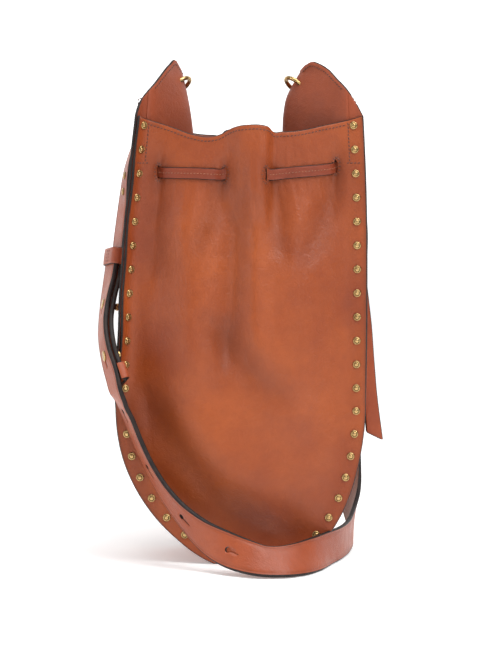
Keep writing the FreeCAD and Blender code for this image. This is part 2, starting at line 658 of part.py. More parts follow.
def tail(y):
    """Flat end tab of the drawstring, wider and cut at a slant at its foot."""
    corners = TAIL_LEFT + TAIL_RIGHT + TAIL_LEFT[:1]
    outline = Part.makePolygon([Vector(x, y - TAIL / 2, z) for x, z in corners])
    return Part.Face(outline).extrude(Vector(0, TAIL, 0))


# ---- Everything --------------------------------------------------------------------------------
def save_shell():
    """The panels, gussets, facings, flange rivets and rings."""
    for name_y, side_y, belly in (("front", -1, FRONT_BELLY), ("back", 1, BACK_BELLY)):
        save(name_y + "_panel", panel(side_y, belly))
        save(name_y + "_mouth_facing", mouth_facing(side_y, belly))
        save(name_y + "_rivet_caps", rivet_caps(side_y))
        save(name_y + "_studs_left", studs(-1, side_y))
        save(name_y + "_studs_right", studs(1, side_y))
    save("left_gusset", side_gusset(-1, LEFT_FOLD, LEFT_RING))
    save("right_gusset", side_gusset(1, RIGHT_FOLD, RIGHT_RING).cut(lace_exits()))
    save("base_gusset", base_gusset())
    save("left_ear_facing", ear_facing(-1, LEFT_FOLD, LEFT_RING))
    save("right_ear_facing", ear_facing(1, RIGHT_FOLD, RIGHT_RING))
    save("left_ring", ring_torus(LEFT_RING, RING_WIRE))
    save("right_ring", ring_torus(RIGHT_RING, RING_WIRE))


def save_strap():
    """The two straps with their rivets, collar studs and keepers."""
    short, long = strap_frames(SHORT_RUN), long_frames()
    necks = post_holes(short, COLLARS, COLLAR_POST + 0.2)
    outer, inner = strap_loop(LEFT_RING)
    strap = strap_sheet(short).fuse(outer).cut(inner)
    save("strap_short", strap.cut(post_holes(short, LEFT_RIVETS, POST_RADIUS)).cut(necks))
    outer, inner = strap_loop(RIGHT_RING)
    point, across, along, way_out = on_strap(long, 0, 0.0)
    waste = block(point, across, along, way_out, 4 * STRAP_HALF, 2 * LONG_TRIM, -STRAP, STRAP)
    strap = strap_sheet(long).cut(waste).fuse(outer).cut(inner).cut(strap_slits(long))
    save("strap_long", strap.cut(post_holes(long, RIGHT_RIVETS, POST_RADIUS)).cut(necks))
    save("strap_rivets_left", strap_rivets(short, LEFT_RIVETS))
    save("strap_rivets_right", strap_rivets(long, RIGHT_RIVETS))
    for name, index in zip(("upper", "lower"), COLLARS):
        point, _, out, _ = short[index]
        save("collar_stud_" + name, collar_stud(point, out))
        save("collar_screw_" + name, collar_screw(point, out))
    save("keeper_upper", keeper(*on_strap(short, *UPPER_KEEPER), -STRAP / 2, STRAP_STEP + STRAP / 2))
    save("keeper_lower", fixed_keeper(*on_strap(short, *LOWER_KEEPER)))


def save_drawstring():
    """The drawstring and its two end tabs."""
    save("drawstring", drawstring())
    save("tail_front", tail(TAIL_Y[0]))
    save("tail_back", tail(TAIL_Y[1]))


def main():
    os.makedirs(OUT, exist_ok=True)
    save_shell()
    save_strap()
    save_drawstring()


main()
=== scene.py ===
"""Looks of the bucket bag: leather, brass, stitching, light and camera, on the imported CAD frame.

Shapes are worked out in millimetres and turned into metres when a mesh is made.
"""
import math

import bpy
import numpy as np
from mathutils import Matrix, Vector

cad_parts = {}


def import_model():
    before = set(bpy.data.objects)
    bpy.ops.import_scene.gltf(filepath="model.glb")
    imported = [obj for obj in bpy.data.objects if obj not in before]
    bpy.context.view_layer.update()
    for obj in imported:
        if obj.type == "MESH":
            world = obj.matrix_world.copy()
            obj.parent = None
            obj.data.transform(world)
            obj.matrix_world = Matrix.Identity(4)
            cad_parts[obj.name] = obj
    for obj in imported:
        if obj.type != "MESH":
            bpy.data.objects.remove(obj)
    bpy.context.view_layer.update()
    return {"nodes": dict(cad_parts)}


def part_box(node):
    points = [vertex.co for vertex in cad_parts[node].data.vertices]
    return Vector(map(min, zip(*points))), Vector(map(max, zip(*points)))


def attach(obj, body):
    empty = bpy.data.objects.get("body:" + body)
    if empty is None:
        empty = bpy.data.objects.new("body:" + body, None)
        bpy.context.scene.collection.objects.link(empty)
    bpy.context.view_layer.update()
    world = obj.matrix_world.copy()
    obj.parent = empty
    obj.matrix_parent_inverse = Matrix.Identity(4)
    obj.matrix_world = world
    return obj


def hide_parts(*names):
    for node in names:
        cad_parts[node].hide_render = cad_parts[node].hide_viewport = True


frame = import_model()
MM = 0.001
RANDOM = np.random.default_rng(7)


def box_mm(node):
    low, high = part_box(node)
    return np.array(low) / MM, np.array(high) / MM


# ---- Sizes, from the frame -----------------------------------------------------------------------
PANEL = 2.0                                   # leather of the panels and gussets
PLY_GAP = 0.4                                 # between a panel's flange and a gusset's
FLANGE = 12.0
STRAP = 3.6                                   # thickness of the strap
STRAP_HALF = 12.5
STRAP_STEP = 4.5                              # from the short strap's middle to the long one's on it
CORNER = box_mm("front_panel")[1][2]          # height of the panels' top corners
HALF_WIDTH = box_mm("front_panel")[1][0]
HALF_DEPTH = -box_mm("front_rivet_caps")[0][1] + PANEL + PLY_GAP + PANEL
LACE_LOW, LACE_HIGH = box_mm("drawstring")
LACE_HEIGHT = (LACE_LOW[2] + LACE_HIGH[2]) / 2
LEFT_RING = sum(box_mm("left_ring")) / 2
RIGHT_RING = sum(box_mm("right_ring")) / 2
ROUND_CENTRE = 124.5                          # height where the round bottom ends
ROUND_HEIGHT = 130.0
SIDE_TAPER = 9.5                              # how much narrower each side is at the top corners
FOLD_START, FOLD_FULL = 190.0, 338.0          # heights between which the gussets fold inward
BASE_HALF, BASE_GAP = 45.0, 0.15              # where base and side gussets meet, and the gap at the seam
FLANGE_INSET = np.linspace(0.0, 0.86, 8)      # places across a gusset's flange, from its free edge
WALL_HALF = HALF_DEPTH - PANEL - PLY_GAP - PANEL / 2

# (height, distance of the folded gusset's edge from the middle)
LEFT_FOLD = ((338, 42.3), (356, 44.6), (368, 46.8), (379, 49.2), (390, 52.0))
RIGHT_FOLD = ((338, 31.6), (355, 32.4), (368, 35.0), (377, 39.5), (387, 45.5))
# (distance from the middle, height) of the ears' top edges, from the folded edge out to the corner
LEFT_EAR = ((46, 382), (50, 388), (53, 393), (55.5, 396), (60, 392.5), (66, 386.5), (73, 377.5), (80, 366), (88, 351))
RIGHT_EAR = ((40, 384), (44, 389), (50, 394.5), (56, 392.5), (62, 388), (69, 380.5), (80, 366.5), (88, 351))
# (height, how far the front of the shell leans to the right)
LEAN = ((0, 6.0), (20, 5.5), (36, 3.0), (79, -1.8), (134, -2.6), (205, -1.0), (282, 1.7), (351, 3.6), (400, 4.4))
# (distance from the middle, height) of the front panel's top edge
TOP_EDGE = ((-88, 351), (-75, 347.2), (-60, 342.5), (-44, 336.8), (-29, 334.8), (-22, 336.3), (-13, 341.2),
            (0, 343.6), (12, 343.2), (16.5, 341.8), (19, 339.0), (26, 338.6), (43, 340.1), (57, 343.3),
            (70, 346), (82, 349), (88, 351))
SLOT_X = (-69.0, -17.3, 14.6, 69.0)
SLOT_HALF_WIDTH, SLOT_HALF_HEIGHT = 1.4, 5.3
SLOT_RISE = (-1.2, -3.0, -3.4, 3.2)           # how far each front slot is above the drawstring's level
# creases and ridges of the front panel: points along it, its width and its height
FOLDS = (
    (((-92, 150), (-74, 131), (-50, 96), (-22, 57), (4, 33), (30, 10)), 15, -5.2),
    (((-84, 172), (-50, 128), (-6, 76), (34, 34)), 20, 3.0),
    (((-40, 206), (-15, 178), (4, 158), (26, 139), (50, 122)), 13, -5.0),
    (((-9, 350), (-8, 285), (-7, 240), (-8, 205), (-16, 130)), 10.5, -6.0),
    (((9, 350), (8, 285), (8, 240), (10, 195), (24, 110)), 11, 5.0),
    (((-14, 328), (-25, 288), (-42, 236)), 9, -4.0),
    (((-76, 345), (-70, 280), (-66, 200)), 13, -5.0),
    (((78, 345), (66, 288), (42, 226)), 12, -4.6),
    (((17, 328), (24, 280), (34, 228)), 9, -3.4),
    (((-42, 310), (-42, 215), (-36, 120)), 24, 7.5),
    (((44, 310), (47, 190), (40, 90)), 27, 8.0),
    (((84, 140), (58, 80), (28, 30)), 18, 2.4)
)
CURL = 17.0                                   # width of the left flange that curls forward
CURL_ANGLE = math.radians(66)


# ---- Small helpers -------------------------------------------------------------------------------
def smooth(t):
    t = np.clip(t, 0.0, 1.0)
    return t * t * (3 - 2 * t)


def curve(knots, t):
    """Value at t of a smooth line through (place, value) knots, level beyond its ends."""
    place = np.array([k[0] for k in knots], float)
    value = np.array([k[1] for k in knots], float)
    t = np.clip(np.asarray(t, float), place[0], place[-1])
    slope = np.gradient(value, place, axis=0)
    i = np.clip(np.searchsorted(place, t, side="right") - 1, 0, len(place) - 2)
    step = place[i + 1] - place[i]
    s = (t - place[i]) / step
    if value.ndim > 1:
        s, step = s[..., None], step[..., None]
    return ((2 * s**3 - 3 * s**2 + 1) * value[i] + (s**3 - 2 * s**2 + s) * step * slope[i]
            + (3 * s**2 - 2 * s**3) * value[i + 1] + (s**3 - s**2) * step * slope[i + 1])


def unit(v):
    return v / np.maximum(np.linalg.norm(v, axis=-1, keepdims=True), 1e-9)


def normals(grid):
    """Unit normals of a grid of points, rows crossed with columns."""
    return unit(np.cross(np.gradient(grid, axis=0), np.gradient(grid, axis=1)))


def crease(points, width, x, z):
    """Soft groove of height 1 along a line of points in the panel's plane, fading at its ends."""
    best, place = np.full(np.shape(x), 1e9), np.zeros(np.shape(x))
    total = sum(math.dist(a, b) for a, b in zip(points, points[1:]))
    gone = 0.0
    for (ax, az), (bx, bz) in zip(points, points[1:]):
        dx, dz = bx - ax, bz - az
        length = math.hypot(dx, dz)
        t = np.clip(((x - ax) * dx + (z - az) * dz) / length**2, 0, 1)
        away = np.hypot(x - ax - t * dx, z - az - t * dz)
        place = np.where(away < best, (gone + t * length) / total, place)
        best = np.minimum(best, away)
        gone += length
    fade = smooth(place / 0.28) * smooth((1 - place) / 0.28)
    return np.exp(-(best / (width * (0.6 + 0.4 * fade))) ** 2) * fade


def distances(line):
    """Distance along a line of points from the first one to each of them."""
    return np.concatenate([[0], np.cumsum(np.linalg.norm(np.diff(line, axis=0), axis=1))])


def add_object(name, data):
    """New object of a mesh, lamp or camera, linked to the scene."""
    thing = bpy.data.objects.new(name, data)
    bpy.context.scene.collection.objects.link(thing)
    return thing


def mesh_piece(name, verts, faces, materials, indices=None, tone=None, body="bag", node=(), slot=None):
    """Mesh object in metres that rides on a body and stands for CAD nodes."""
    mesh = bpy.data.meshes.new(name)
    mesh.from_pydata((np.asarray(verts) * MM).tolist(), [], faces)
    mesh.polygons.foreach_set("use_smooth", [True] * len(mesh.polygons))
    if indices is not None:
        mesh.polygons.foreach_set("material_index", indices)
    shade = mesh.attributes.new("tone", "FLOAT", "POINT")
    if tone is not None:
        shade.data.foreach_set("value", np.asarray(tone, np.float32))
    for material in materials:
        mesh.materials.append(material)
    mesh.update()
    piece = add_object(name, mesh)
    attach(piece, body)
    if node:
        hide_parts(*((node,) if isinstance(node, str) else node))
    return piece


def sheet_parts(grid, low, high, tone=None, bulge=0.3):
    """Closed sheet between the grid moved by low and by high, with a rounded edge."""
    rows, cols = grid.shape[:2]
    n = normals(grid)
    outer, inner = grid + n * high, grid + n * low
    index = np.arange(rows * cols).reshape(rows, cols)
    quads = np.stack([index[:-1, :-1], index[1:, :-1], index[1:, 1:], index[:-1, 1:]], -1).reshape(-1, 4)
    loop = np.concatenate([index[:, 0], index[-1, 1:], index[-2::-1, -1], index[0, -2:0:-1]])
    a, b = outer.reshape(-1, 3)[loop], inner.reshape(-1, 3)[loop]
    away = unit(np.cross(np.roll(a, -1, 0) - np.roll(a, 1, 0), a - b))
    thick = np.linalg.norm(a - b, axis=1, keepdims=True)
    verts = [outer.reshape(-1, 3), inner.reshape(-1, 3)]
    faces = [quads, quads[:, ::-1] + rows * cols]
    kinds = [np.zeros(len(quads), int), np.ones(len(quads), int)]
    count = 2 * rows * cols
    rings = [loop]
    for share in (0.15, 0.5, 0.85):
        verts.append(a + (b - a) * share + away * thick * bulge * math.sin(math.pi * share))
        rings.append(np.arange(len(loop)) + count)
        count += len(loop)
    rings.append(loop + rows * cols)
    for r, s in zip(rings, rings[1:]):
        faces.append(np.stack([np.roll(r, -1), r, s, np.roll(s, -1)], -1))
        kinds.append(np.full(len(loop), 2))
    verts = np.concatenate(verts)
    shade = np.zeros(len(verts))
    if tone is not None:
        shade[:rows * cols] = tone.reshape(-1)
    return verts, np.concatenate(faces), np.concatenate(kinds), shade


def join(parts):
    """Several (verts, faces, kinds, tone) put together, where a kind is a face's material."""
    verts, faces, kinds, tones, count = [], [], [], [], 0
    for v, f, k, t in parts:
        verts.append(v)
        faces.append(np.asarray(f) + count)
        kinds.append(k)
        tones.append(t)
        count += len(v)
    return np.concatenate(verts), np.concatenate(faces), np.concatenate(kinds), np.concatenate(tones)


def build(name, parts, materials, **words):
    verts, faces, kinds, tone = parts
    return mesh_piece(name, verts, faces.tolist(), materials, kinds.tolist(), tone, **words)


def grid_faces(rows, cols, close_rows=False, close_cols=True):
    """Quads between neighbouring points of a grid that is listed row after row."""
    quads = []
    for i in range(rows if close_rows else rows - 1):
        this_row, next_row = i * cols, (i + 1) % rows * cols
        for j in range(cols if close_cols else cols - 1):
            k = (j + 1) % cols
            quads.append((this_row + j, this_row + k, next_row + k, next_row + j))
    return np.array(quads)


def lathe(profile, tones, segments=24):
    """Turned shape round its own Z from (radius, height) points, as quads."""
    angles = np.linspace(0, 2 * math.pi, segments, endpoint=False)
    verts = np.array([(r * math.cos(t), r * math.sin(t), h) for r, h in profile for t in angles])
    faces = grid_faces(len(profile), segments)[:, ::-1]
    return verts, faces, np.zeros(len(faces), int), np.repeat(tones, segments)


def placed(part, origins, ups, alongs):
    """Copies of a part with its Z along ups and its X along alongs."""
    verts, faces, kinds, tone = part
    ups = unit(np.asarray(ups, float))
    alongs = np.asarray(alongs, float)
    alongs = unit(alongs - ups * np.sum(alongs * ups, -1, keepdims=True))
    sides = np.cross(ups, alongs)
    return join([
        (verts @ np.stack([x, y, z]) + o, faces, kinds, tone)
        for o, x, y, z in zip(np.asarray(origins), alongs, sides, ups)
    ])


def tube_round(centre, normal, radius, wire, turns=72, sides=16):
    """Ring of round wire."""
    normal = unit(np.array(normal, float))
    a = unit(np.cross(normal, (0.31, 0.2, 0.93)))
    b = np.cross(normal, a)
    verts = []
    for i in range(turns):
        t = 2 * math.pi * i / turns
        spoke = a * math.cos(t) + b * math.sin(t)
        for j in range(sides):
            s = 2 * math.pi * j / sides
            # the wire is slightly thinner where the ring was closed
            pinch = 1 - 0.09 * math.exp(-((((t - 4.4) * radius) / 0.5) ** 2))
            verts.append(centre + spoke * (radius + wire * pinch * math.cos(s)) + normal * wire * pinch * math.sin(s))
    faces = np.roll(grid_faces(turns, sides, close_rows=True)[:, ::-1], 1, axis=1)
    return np.array(verts), faces, np.zeros(len(faces), int), np.zeros(len(verts))


# ---- Materials -----------------------------------------------------------------------------------
class Nodes:
    """A material's node tree with short ways to add to it."""

    def __init__(self, name):
        self.material = bpy.data.materials.new(name)
        self.material.use_nodes = True
        self.tree = self.material.node_tree
        self.shader = self.tree.nodes["Principled BSDF"]
        self.place = self.add("ShaderNodeTexCoord").outputs["Object"]

    def add(self, kind, **values):
        node = self.tree.nodes.new(kind)
        for key, value in values.items():
            setattr(node, key, value)
        return node

    def link(self, a, b):
        self.tree.links.new(a, b)

    def noise(self, scale, detail=3.0, rough=0.5, distort=0.0):
        node = self.add("ShaderNodeTexNoise")
        for key, value in (("Scale", scale), ("Detail", detail), ("Roughness", rough), ("Distortion", distort)):
            node.inputs[key].default_value = value
        self.link(self.place, node.inputs["Vector"])
        return node.outputs["Fac"]

    def cells(self, scale, feature="F1"):
        node = self.add("ShaderNodeTexVoronoi", feature=feature)
        node.inputs["Scale"].default_value = scale
        self.link(self.place, node.inputs["Vector"])
        return node.outputs["Distance"]

    def tone(self):
        return self.add("ShaderNodeAttribute", attribute_name="tone").outputs["Fac"]

    def spread(self, value, low, high, to_low=0.0, to_high=1.0):
        node = self.add("ShaderNodeMapRange")
        for key, v in zip((1, 2, 3, 4), (low, high, to_low, to_high)):
            node.inputs[key].default_value = v
        self.link(value, node.inputs[0])
        return node.outputs[0]

    def mix(self, factor, a, b):
        node = self.add("ShaderNodeMix", data_type="RGBA")
        self.link(factor, node.inputs[0])
        for socket, value in ((node.inputs[6], a), (node.inputs[7], b)):
            if isinstance(value, tuple):
                socket.default_value = (*value, 1.0)
            else:
                self.link(value, socket)
        return node.outputs[2]

    def bump(self, height, strength, distance, under=None):
        node = self.add("ShaderNodeBump")
        node.inputs["Strength"].default_value = strength
        node.inputs["Distance"].default_value = distance
        self.link(height, node.inputs["Height"])
        if under is not None:
            self.link(under, node.inputs["Normal"])
        return node.outputs["Normal"]

    def finish(self, color, rough, normal=None, **fixed):
        self.link(color, self.shader.inputs["Base Color"])
        self.link(rough, self.shader.inputs["Roughness"])
        if normal is not None:
            self.link(normal, self.shader.inputs["Normal"])
        for key, value in fixed.items():
            self.shader.inputs[key.replace("_", " ")].default_value = value
        return self.material


def leather(name, light, dark, rough=(0.36, 0.52), grain=1.0):
    """Smooth waxed leather: fine grain, faint wrinkles and cloudy colour, darkened by the tone attribute: painted
    shade in creases and hollows, and darker edges.
    """
    n = Nodes(name)
    cloud = n.spread(n.noise(11, 4, 0.55), 0.36, 0.66)
    color = n.mix(cloud, light, dark)
    mottle = n.spread(n.noise(150, 5, 0.6), 0.3, 0.75, 0.0, 0.22)
    color = n.mix(mottle, color, tuple(0.55 * c for c in dark))
    # the tone attribute darkens the colour: painted shade in creases and hollows, and darker rims along edges
    color = n.mix(n.tone(), color, tuple(0.42 * c for c in dark))
    pores = n.cells(1150)
    creases = n.spread(n.noise(270, 6, 0.62, 1.2), 0.40, 0.62)
    normal = n.bump(pores, 0.20 * grain, 0.0003)
    normal = n.bump(creases, 0.30 * grain, 0.0005, normal)
    normal = n.bump(n.noise(60, 4, 0.6, 0.8), 0.35 * grain, 0.0012, normal)
    gloss = n.spread(n.noise(70, 4), 0.3, 0.7, rough[0], rough[1])
    return n.finish(color, gloss, normal, Coat_Weight=0.05, Coat_Roughness=0.45, Sheen_Weight=0.02,
                    Sheen_Roughness=0.45, Specular_IOR_Level=0.42)


def flesh(name, light, dark):
    """Brushed flesh side of the leather."""
    n = Nodes(name)
    color = n.mix(n.spread(n.noise(45, 5, 0.7), 0.3, 0.7), light, dark)
    fibres = n.noise(1600, 4, 0.8, 1.5)
    rough = n.spread(fibres, 0.0, 1.0, 0.8, 0.98)
    return n.finish(color, rough, n.bump(fibres, 0.5, 0.0004), Sheen_Weight=0.35, Sheen_Roughness=0.6)


def painted_edge(name):
    """Dark edge paint, slightly uneven."""
    n = Nodes(name)
    color = n.mix(n.spread(n.noise(220, 3), 0.35, 0.7), (0.011, 0.008, 0.008), (0.026, 0.015, 0.012))
    lumps = n.noise(420, 3)
    return n.finish(color, n.spread(lumps, 0.3, 0.7, 0.45, 0.65), n.bump(lumps, 0.3, 0.0004),
                    Specular_IOR_Level=0.3)


def thread(name, light, dark):
    """Twisted sewing thread."""
    n = Nodes(name)
    twist = n.noise(2600, 2)
    color = n.mix(n.spread(n.noise(500, 2), 0.35, 0.65), light, dark)
    return n.finish(color, n.spread(twist, 0, 1, 0.55, 0.8), n.bump(twist, 0.4, 0.0002), Sheen_Weight=0.2)


def brass(name, bright, aged, rough=(0.2, 0.36)):
    """Aged brass, dark where the tone says it is hollow or rubbed last."""
    n = Nodes(name)
    color = n.mix(n.spread(n.noise(420, 4, 0.6), 0.4, 0.72, 0.0, 0.5), bright, aged)
    color = n.mix(n.tone(), color, tuple(0.4 * c for c in aged))
    scuffs = n.noise(900, 4, 0.7)
    gloss = n.spread(scuffs, 0.3, 0.7, rough[0], rough[1])
    return n.finish(color, gloss, n.bump(scuffs, 0.12, 0.0002), Metallic=1.0)


TAN, TAN_DARK = (0.375, 0.075, 0.0115), (0.255, 0.043, 0.0075)
SHELL = leather("shell_leather", TAN, TAN_DARK)
FACING = leather("facing_leather", (0.33, 0.064, 0.019), (0.24, 0.043, 0.013), (0.42, 0.6), 0.8)
BRIDLE = leather("strap_leather", (0.385, 0.080, 0.024), (0.285, 0.052, 0.0155), (0.34, 0.48), 0.8)
LACING = leather("lace_leather", (0.27, 0.045, 0.012), (0.20, 0.031, 0.009), (0.4, 0.55), 0.8)
FLESH = flesh("flesh_side", (0.30, 0.125, 0.07), (0.21, 0.08, 0.042))
EDGE = painted_edge("edge_paint")
THREAD = thread("thread", (0.115, 0.028, 0.011), (0.07, 0.016, 0.007))
LACE_THREAD = thread("lace_thread", (0.36, 0.12, 0.05), (0.2, 0.06, 0.022))
BRASS = brass("aged_brass", (0.60, 0.40, 0.17), (0.33, 0.19, 0.07))
SHELL_SET = (SHELL, FLESH, EDGE)              # outer face, inner face and edge
STRAP_SET = (BRIDLE, FLESH, EDGE)


# ---- The shell's shape ---------------------------------------------------------------------------
def half_width(z):
    """Half-width of the panels: an ellipse below, slightly tapered above."""
    z = np.asarray(z, float)
    down = (ROUND_CENTRE - np.minimum(z, ROUND_CENTRE)) / ROUND_HEIGHT
    low = HALF_WIDTH * np.sqrt(np.maximum(0.0, 1 - down**2))
    rise = (z - ROUND_CENTRE) / (CORNER - ROUND_CENTRE)
    return np.where(z < ROUND_CENTRE, low, HALF_WIDTH - SIDE_TAPER * rise * rise)


def relief(side, x, z):
    """Gathers, cheeks, ridge and creases of a panel, outward, in addition to its plain swell."""
    if side > 0:
        ridge = 7.0 * np.exp(-((x / 17.0) ** 2)) * smooth((z - 200) / 90)
        sag = 3.5 * np.exp(-(((x + 8) / 50) ** 2) - (((z - 120) / 60) ** 2))
        fold = -3.2 * crease(((86, 160), (30, 80), (-40, 8)), 16, x, z)
        side_fold = -2.6 * crease(((-72, 312), (-48, 262), (-30, 224)), 10, x, z)
        return ridge + sag + fold + side_fold
    out = np.zeros(np.shape(x))
    for points, width, height in FOLDS:
        out = out + height * crease(points, width, x, z)
    gathered = smooth((z - 262) / 34)
    bulge = 9.5 * smooth((x + 20) / 15) * smooth((21.0 - x) / 8) * gathered
    return out + bulge


def ripples(x, z):
    """Fine puckers that fan out from where the drawstring pulls the panel in."""
    near = np.exp(-((z - LACE_HEIGHT + 4) / 26.0) ** 2) * smooth((82 - np.abs(x)) / 14)
    fan = x + 0.22 * (z - LACE_HEIGHT) * np.tanh(x / 30)
    fine = 0.35 * np.sin(fan * 0.82 + 0.9 * np.sin(z * 0.11)) + 0.22 * np.sin(fan * 1.47 + 1.3 + 0.05 * z)
    lower = 0.22 * np.exp(-((z - 245) / 40.0) ** 2) * np.sin((x * 0.9 - z) * 0.34 + np.sin(x * 0.13))
    return 0.55 * near * fine + 0.4 * lower * smooth((80 - np.abs(x)) / 20)


def dimples(side, x, z):
    """The panel dips where the drawstring goes through it."""
    if side > 0:
        return 0.0
    return sum(-1.6 * np.exp(-((x - s) / 4.0) ** 2 - ((z - LACE_HEIGHT) / 9.0) ** 2) for s in SLOT_X)


def swell(side, x, z):
    """How far a panel stands out of the plane of its flanges."""
    near_side, near_base = half_width(z) - np.abs(x), np.maximum(z, 0.0)
    inside = -8 * np.log(np.exp(-near_side / 8) + np.exp(-near_base / 8)) - FLANGE
    inside = np.maximum(inside, 0.0)
    belly = 22.0 if side < 0 else 18.0
    spread = 1 - np.exp(-((inside / 40.0) ** 2))
    gathered = smooth((z - 170.0) / 120.0)
    detail = relief(side, x, z) + ripples(x, z) * (1.0 if side < 0 else 0.3)
    return spread * belly * (1 - 0.55 * gathered) + detail * smooth(inside / 14) + dimples(side, x, z)


def top_edge(side, x):
    """Height of a panel's top edge. The back's is the front's seen from behind."""
    return curve(TOP_EDGE, -side * x)


def curl(side, x, y, z):
    """The flange's free edge curls outward, most of all at the front on the left."""
    w = half_width(z)
    for sign, strength, width in ((-1, 1.0 if side < 0 else 0.3, CURL), (1, 0.16 if side < 0 else 0.35, CURL * 0.7)):
        s = np.maximum(0.0, width - (w - sign * x))
        up = smooth((z - 116) / 44) * strength * (1 + 0.05 * np.sin(z / 9.0) + 0.05 * np.sin(z / 23.0))
        t = (np.arange(12) + 0.5) / 12
        angle = CURL_ANGLE * up[..., None] * smooth(s[..., None] * t / width)
        x = np.where(s > 0, sign * (w - width) + sign * s * np.cos(angle).mean(-1), x)
        y = y + side * s * np.sin(angle).mean(-1)
    return x, y


def leaned(points):
    """Front of the shell leans a little to one side and back again, as the real leather does."""
    points = np.array(points, float)
    front = smooth((12.0 - points[..., 1]) / 56.0)
    points[..., 0] += curve(LEAN, points[..., 2]) * front
    return points


def panel_surface(side, x, row):
    """Outer face of a panel at flat places x along rows of flat height row."""
    x, row = np.broadcast_arrays(np.asarray(x, float), np.asarray(row, float))
    z = row - (CORNER - top_edge(side, x)) * (np.maximum(row, 0) / CORNER) ** 3
    y = side * (HALF_DEPTH + swell(side, x, z))
    x, y = curl(side, x, y, row)
    return leaned(np.stack([x, y, z], -1))


def on_panel(side, x, z):
    """Points of a panel's outer face at width x and height z, and its outward normals."""
    x, z = np.asarray(x, float), np.asarray(z, float)
    row = z.copy()
    for _ in range(4):
        row = z + (CORNER - top_edge(side, x)) * (row / CORNER) ** 3
    step = 0.6
    across = panel_surface(side, x + step, row) - panel_surface(side, x - step, row)
    up = panel_surface(side, x, row + step) - panel_surface(side, x, row - step)
    return panel_surface(side, x, row), unit(np.cross(across, up)) * (-side)


def wavy_columns(count, dense):
    """Places from -1 to 1, closer together at the ends."""
    t = np.linspace(-1, 1, count)
    return np.sign(t) * (1 - (1 - np.abs(t)) ** dense)


def panel_rows():
    start = math.acos((ROUND_CENTRE - 0.7) / ROUND_HEIGHT)
    round_part = ROUND_CENTRE - ROUND_HEIGHT * np.cos(np.linspace(start, math.pi / 2, 92))
    return np.concatenate([round_part, np.linspace(ROUND_CENTRE, CORNER, 170)[1:]])


def panel_grid(side, rows, columns):
    grid = panel_surface(side, columns[None, :] * half_width(rows)[:, None], rows[:, None])
    return grid if side > 0 else grid[:, ::-1]


def panel_shade_and_rim(side, rows, columns):
    """Painted shade in the creases, round the slots and on the lower left, and a darker rim along the edges."""
    x, z = columns[None, :] * half_width(rows)[:, None], rows[:, None] + 0 * columns[None, :]
    tone = 0.0 * x
    # painted shade: the creases that sink into the front panel are darkened
    for points, width, height in FOLDS:
        if height < 0 and side < 0:
            tone = tone + 0.26 * crease(points, width * 1.1, x, z)
    tone += 0.5 * np.exp(-((half_width(z) - np.abs(x)) / 1.4) ** 2)
    # painted shade round each slot, where the panel dips
    for s in SLOT_X:
        tone += 0.35 * np.exp(-((x - s) / 5) ** 2 - ((z - LACE_HEIGHT - 2) / 11) ** 2)
    # painted shade: the lower left of the panel is darker, away from the lights
    tone += 0.16 * smooth((-x - 30) / 60) * smooth((170 - z) / 90)
    tone = np.clip(tone, 0, 1)
    return tone if side > 0 else tone[:, ::-1]


def prisms(name, rings):
    """Mesh of closed prisms, each between a low and a high ring of points."""
    verts, faces, count = [], [], 0
    for low, high in rings:
        k = len(low)
        verts += (np.concatenate([low, high]) * MM).tolist()
        faces += [tuple(count + i for i in range(k - 1, -1, -1)), tuple(count + k + i for i in range(k))]
        faces += [(count + i, count + (i + 1) % k, count + k + (i + 1) % k, count + k + i) for i in range(k)]
        count += 2 * k
    mesh = bpy.data.meshes.new(name)
    mesh.from_pydata(verts, [], faces)
    mesh.update()
    return mesh


def slots(side):
    """Cutters for the upright slots of a panel, where the drawstring passes."""
    rise = np.array(SLOT_RISE) if side < 0 else np.zeros(4)
    points, out = on_panel(side, np.array(SLOT_X), LACE_HEIGHT + rise)
    up, reach = np.array([0, 0, 1.0]), 7
    turns = np.linspace(0, 2 * math.pi, 20, endpoint=False)
    rings = []
    for p, n in zip(points, out):
        flat = unit(np.array([n[0], n[1], 0.0]))
        across = np.cross((0, 0, 1), flat)
        ring = np.array([p + across * (SLOT_HALF_WIDTH * math.cos(t)) + up * (SLOT_HALF_HEIGHT * math.sin(t))
                         for t in turns])
        rings.append((ring - flat * reach, ring + flat * reach))
    return prisms("slots", rings)


def subtract(piece, cutter_mesh):
    """Cuts a closed mesh out of a piece and leaves no modifier behind."""
    cutter = add_object("cutter", cutter_mesh)
    cutter_mesh.materials.append(EDGE)
    cut = piece.modifiers.new("cut", "BOOLEAN")
    cut.operation, cut.solver, cut.object = "DIFFERENCE", "EXACT", cutter
    cut.material_mode = "TRANSFER"
    with bpy.context.temp_override(object=piece, active_object=piece):
        bpy.ops.object.modifier_apply(modifier=cut.name)
    bpy.data.objects.remove(cutter)


# ---- Panels --------------------------------------------------------------------------------------
ROWS, COLUMNS = panel_rows(), wavy_columns(150, 1.15)
BAND_LOW, BAND_HIGH, BAND_WIDTH = 328, 350.6, 0.84   # flat heights of the mouth's band, and its share of the width
for side, name in ((-1, "front"), (1, "back")):
    grid = panel_grid(side, ROWS, COLUMNS)
    skin = build(name + "_panel_skin", sheet_parts(grid, -PANEL, 0.0, panel_shade_and_rim(side, ROWS, COLUMNS)),
                 SHELL_SET, node=name + "_panel", slot="leather_shell")
    subtract(skin, slots(side))
    rows, columns = np.linspace(BAND_LOW, BAND_HIGH, 18), COLUMNS * BAND_WIDTH
    band = sheet_parts(panel_grid(side, rows, columns), -PANEL - 1.5, -PANEL - 0.3)
    build(name + "_mouth_band", band, (FACING, FACING, EDGE), node=name + "_mouth_facing", slot="leather_facing")


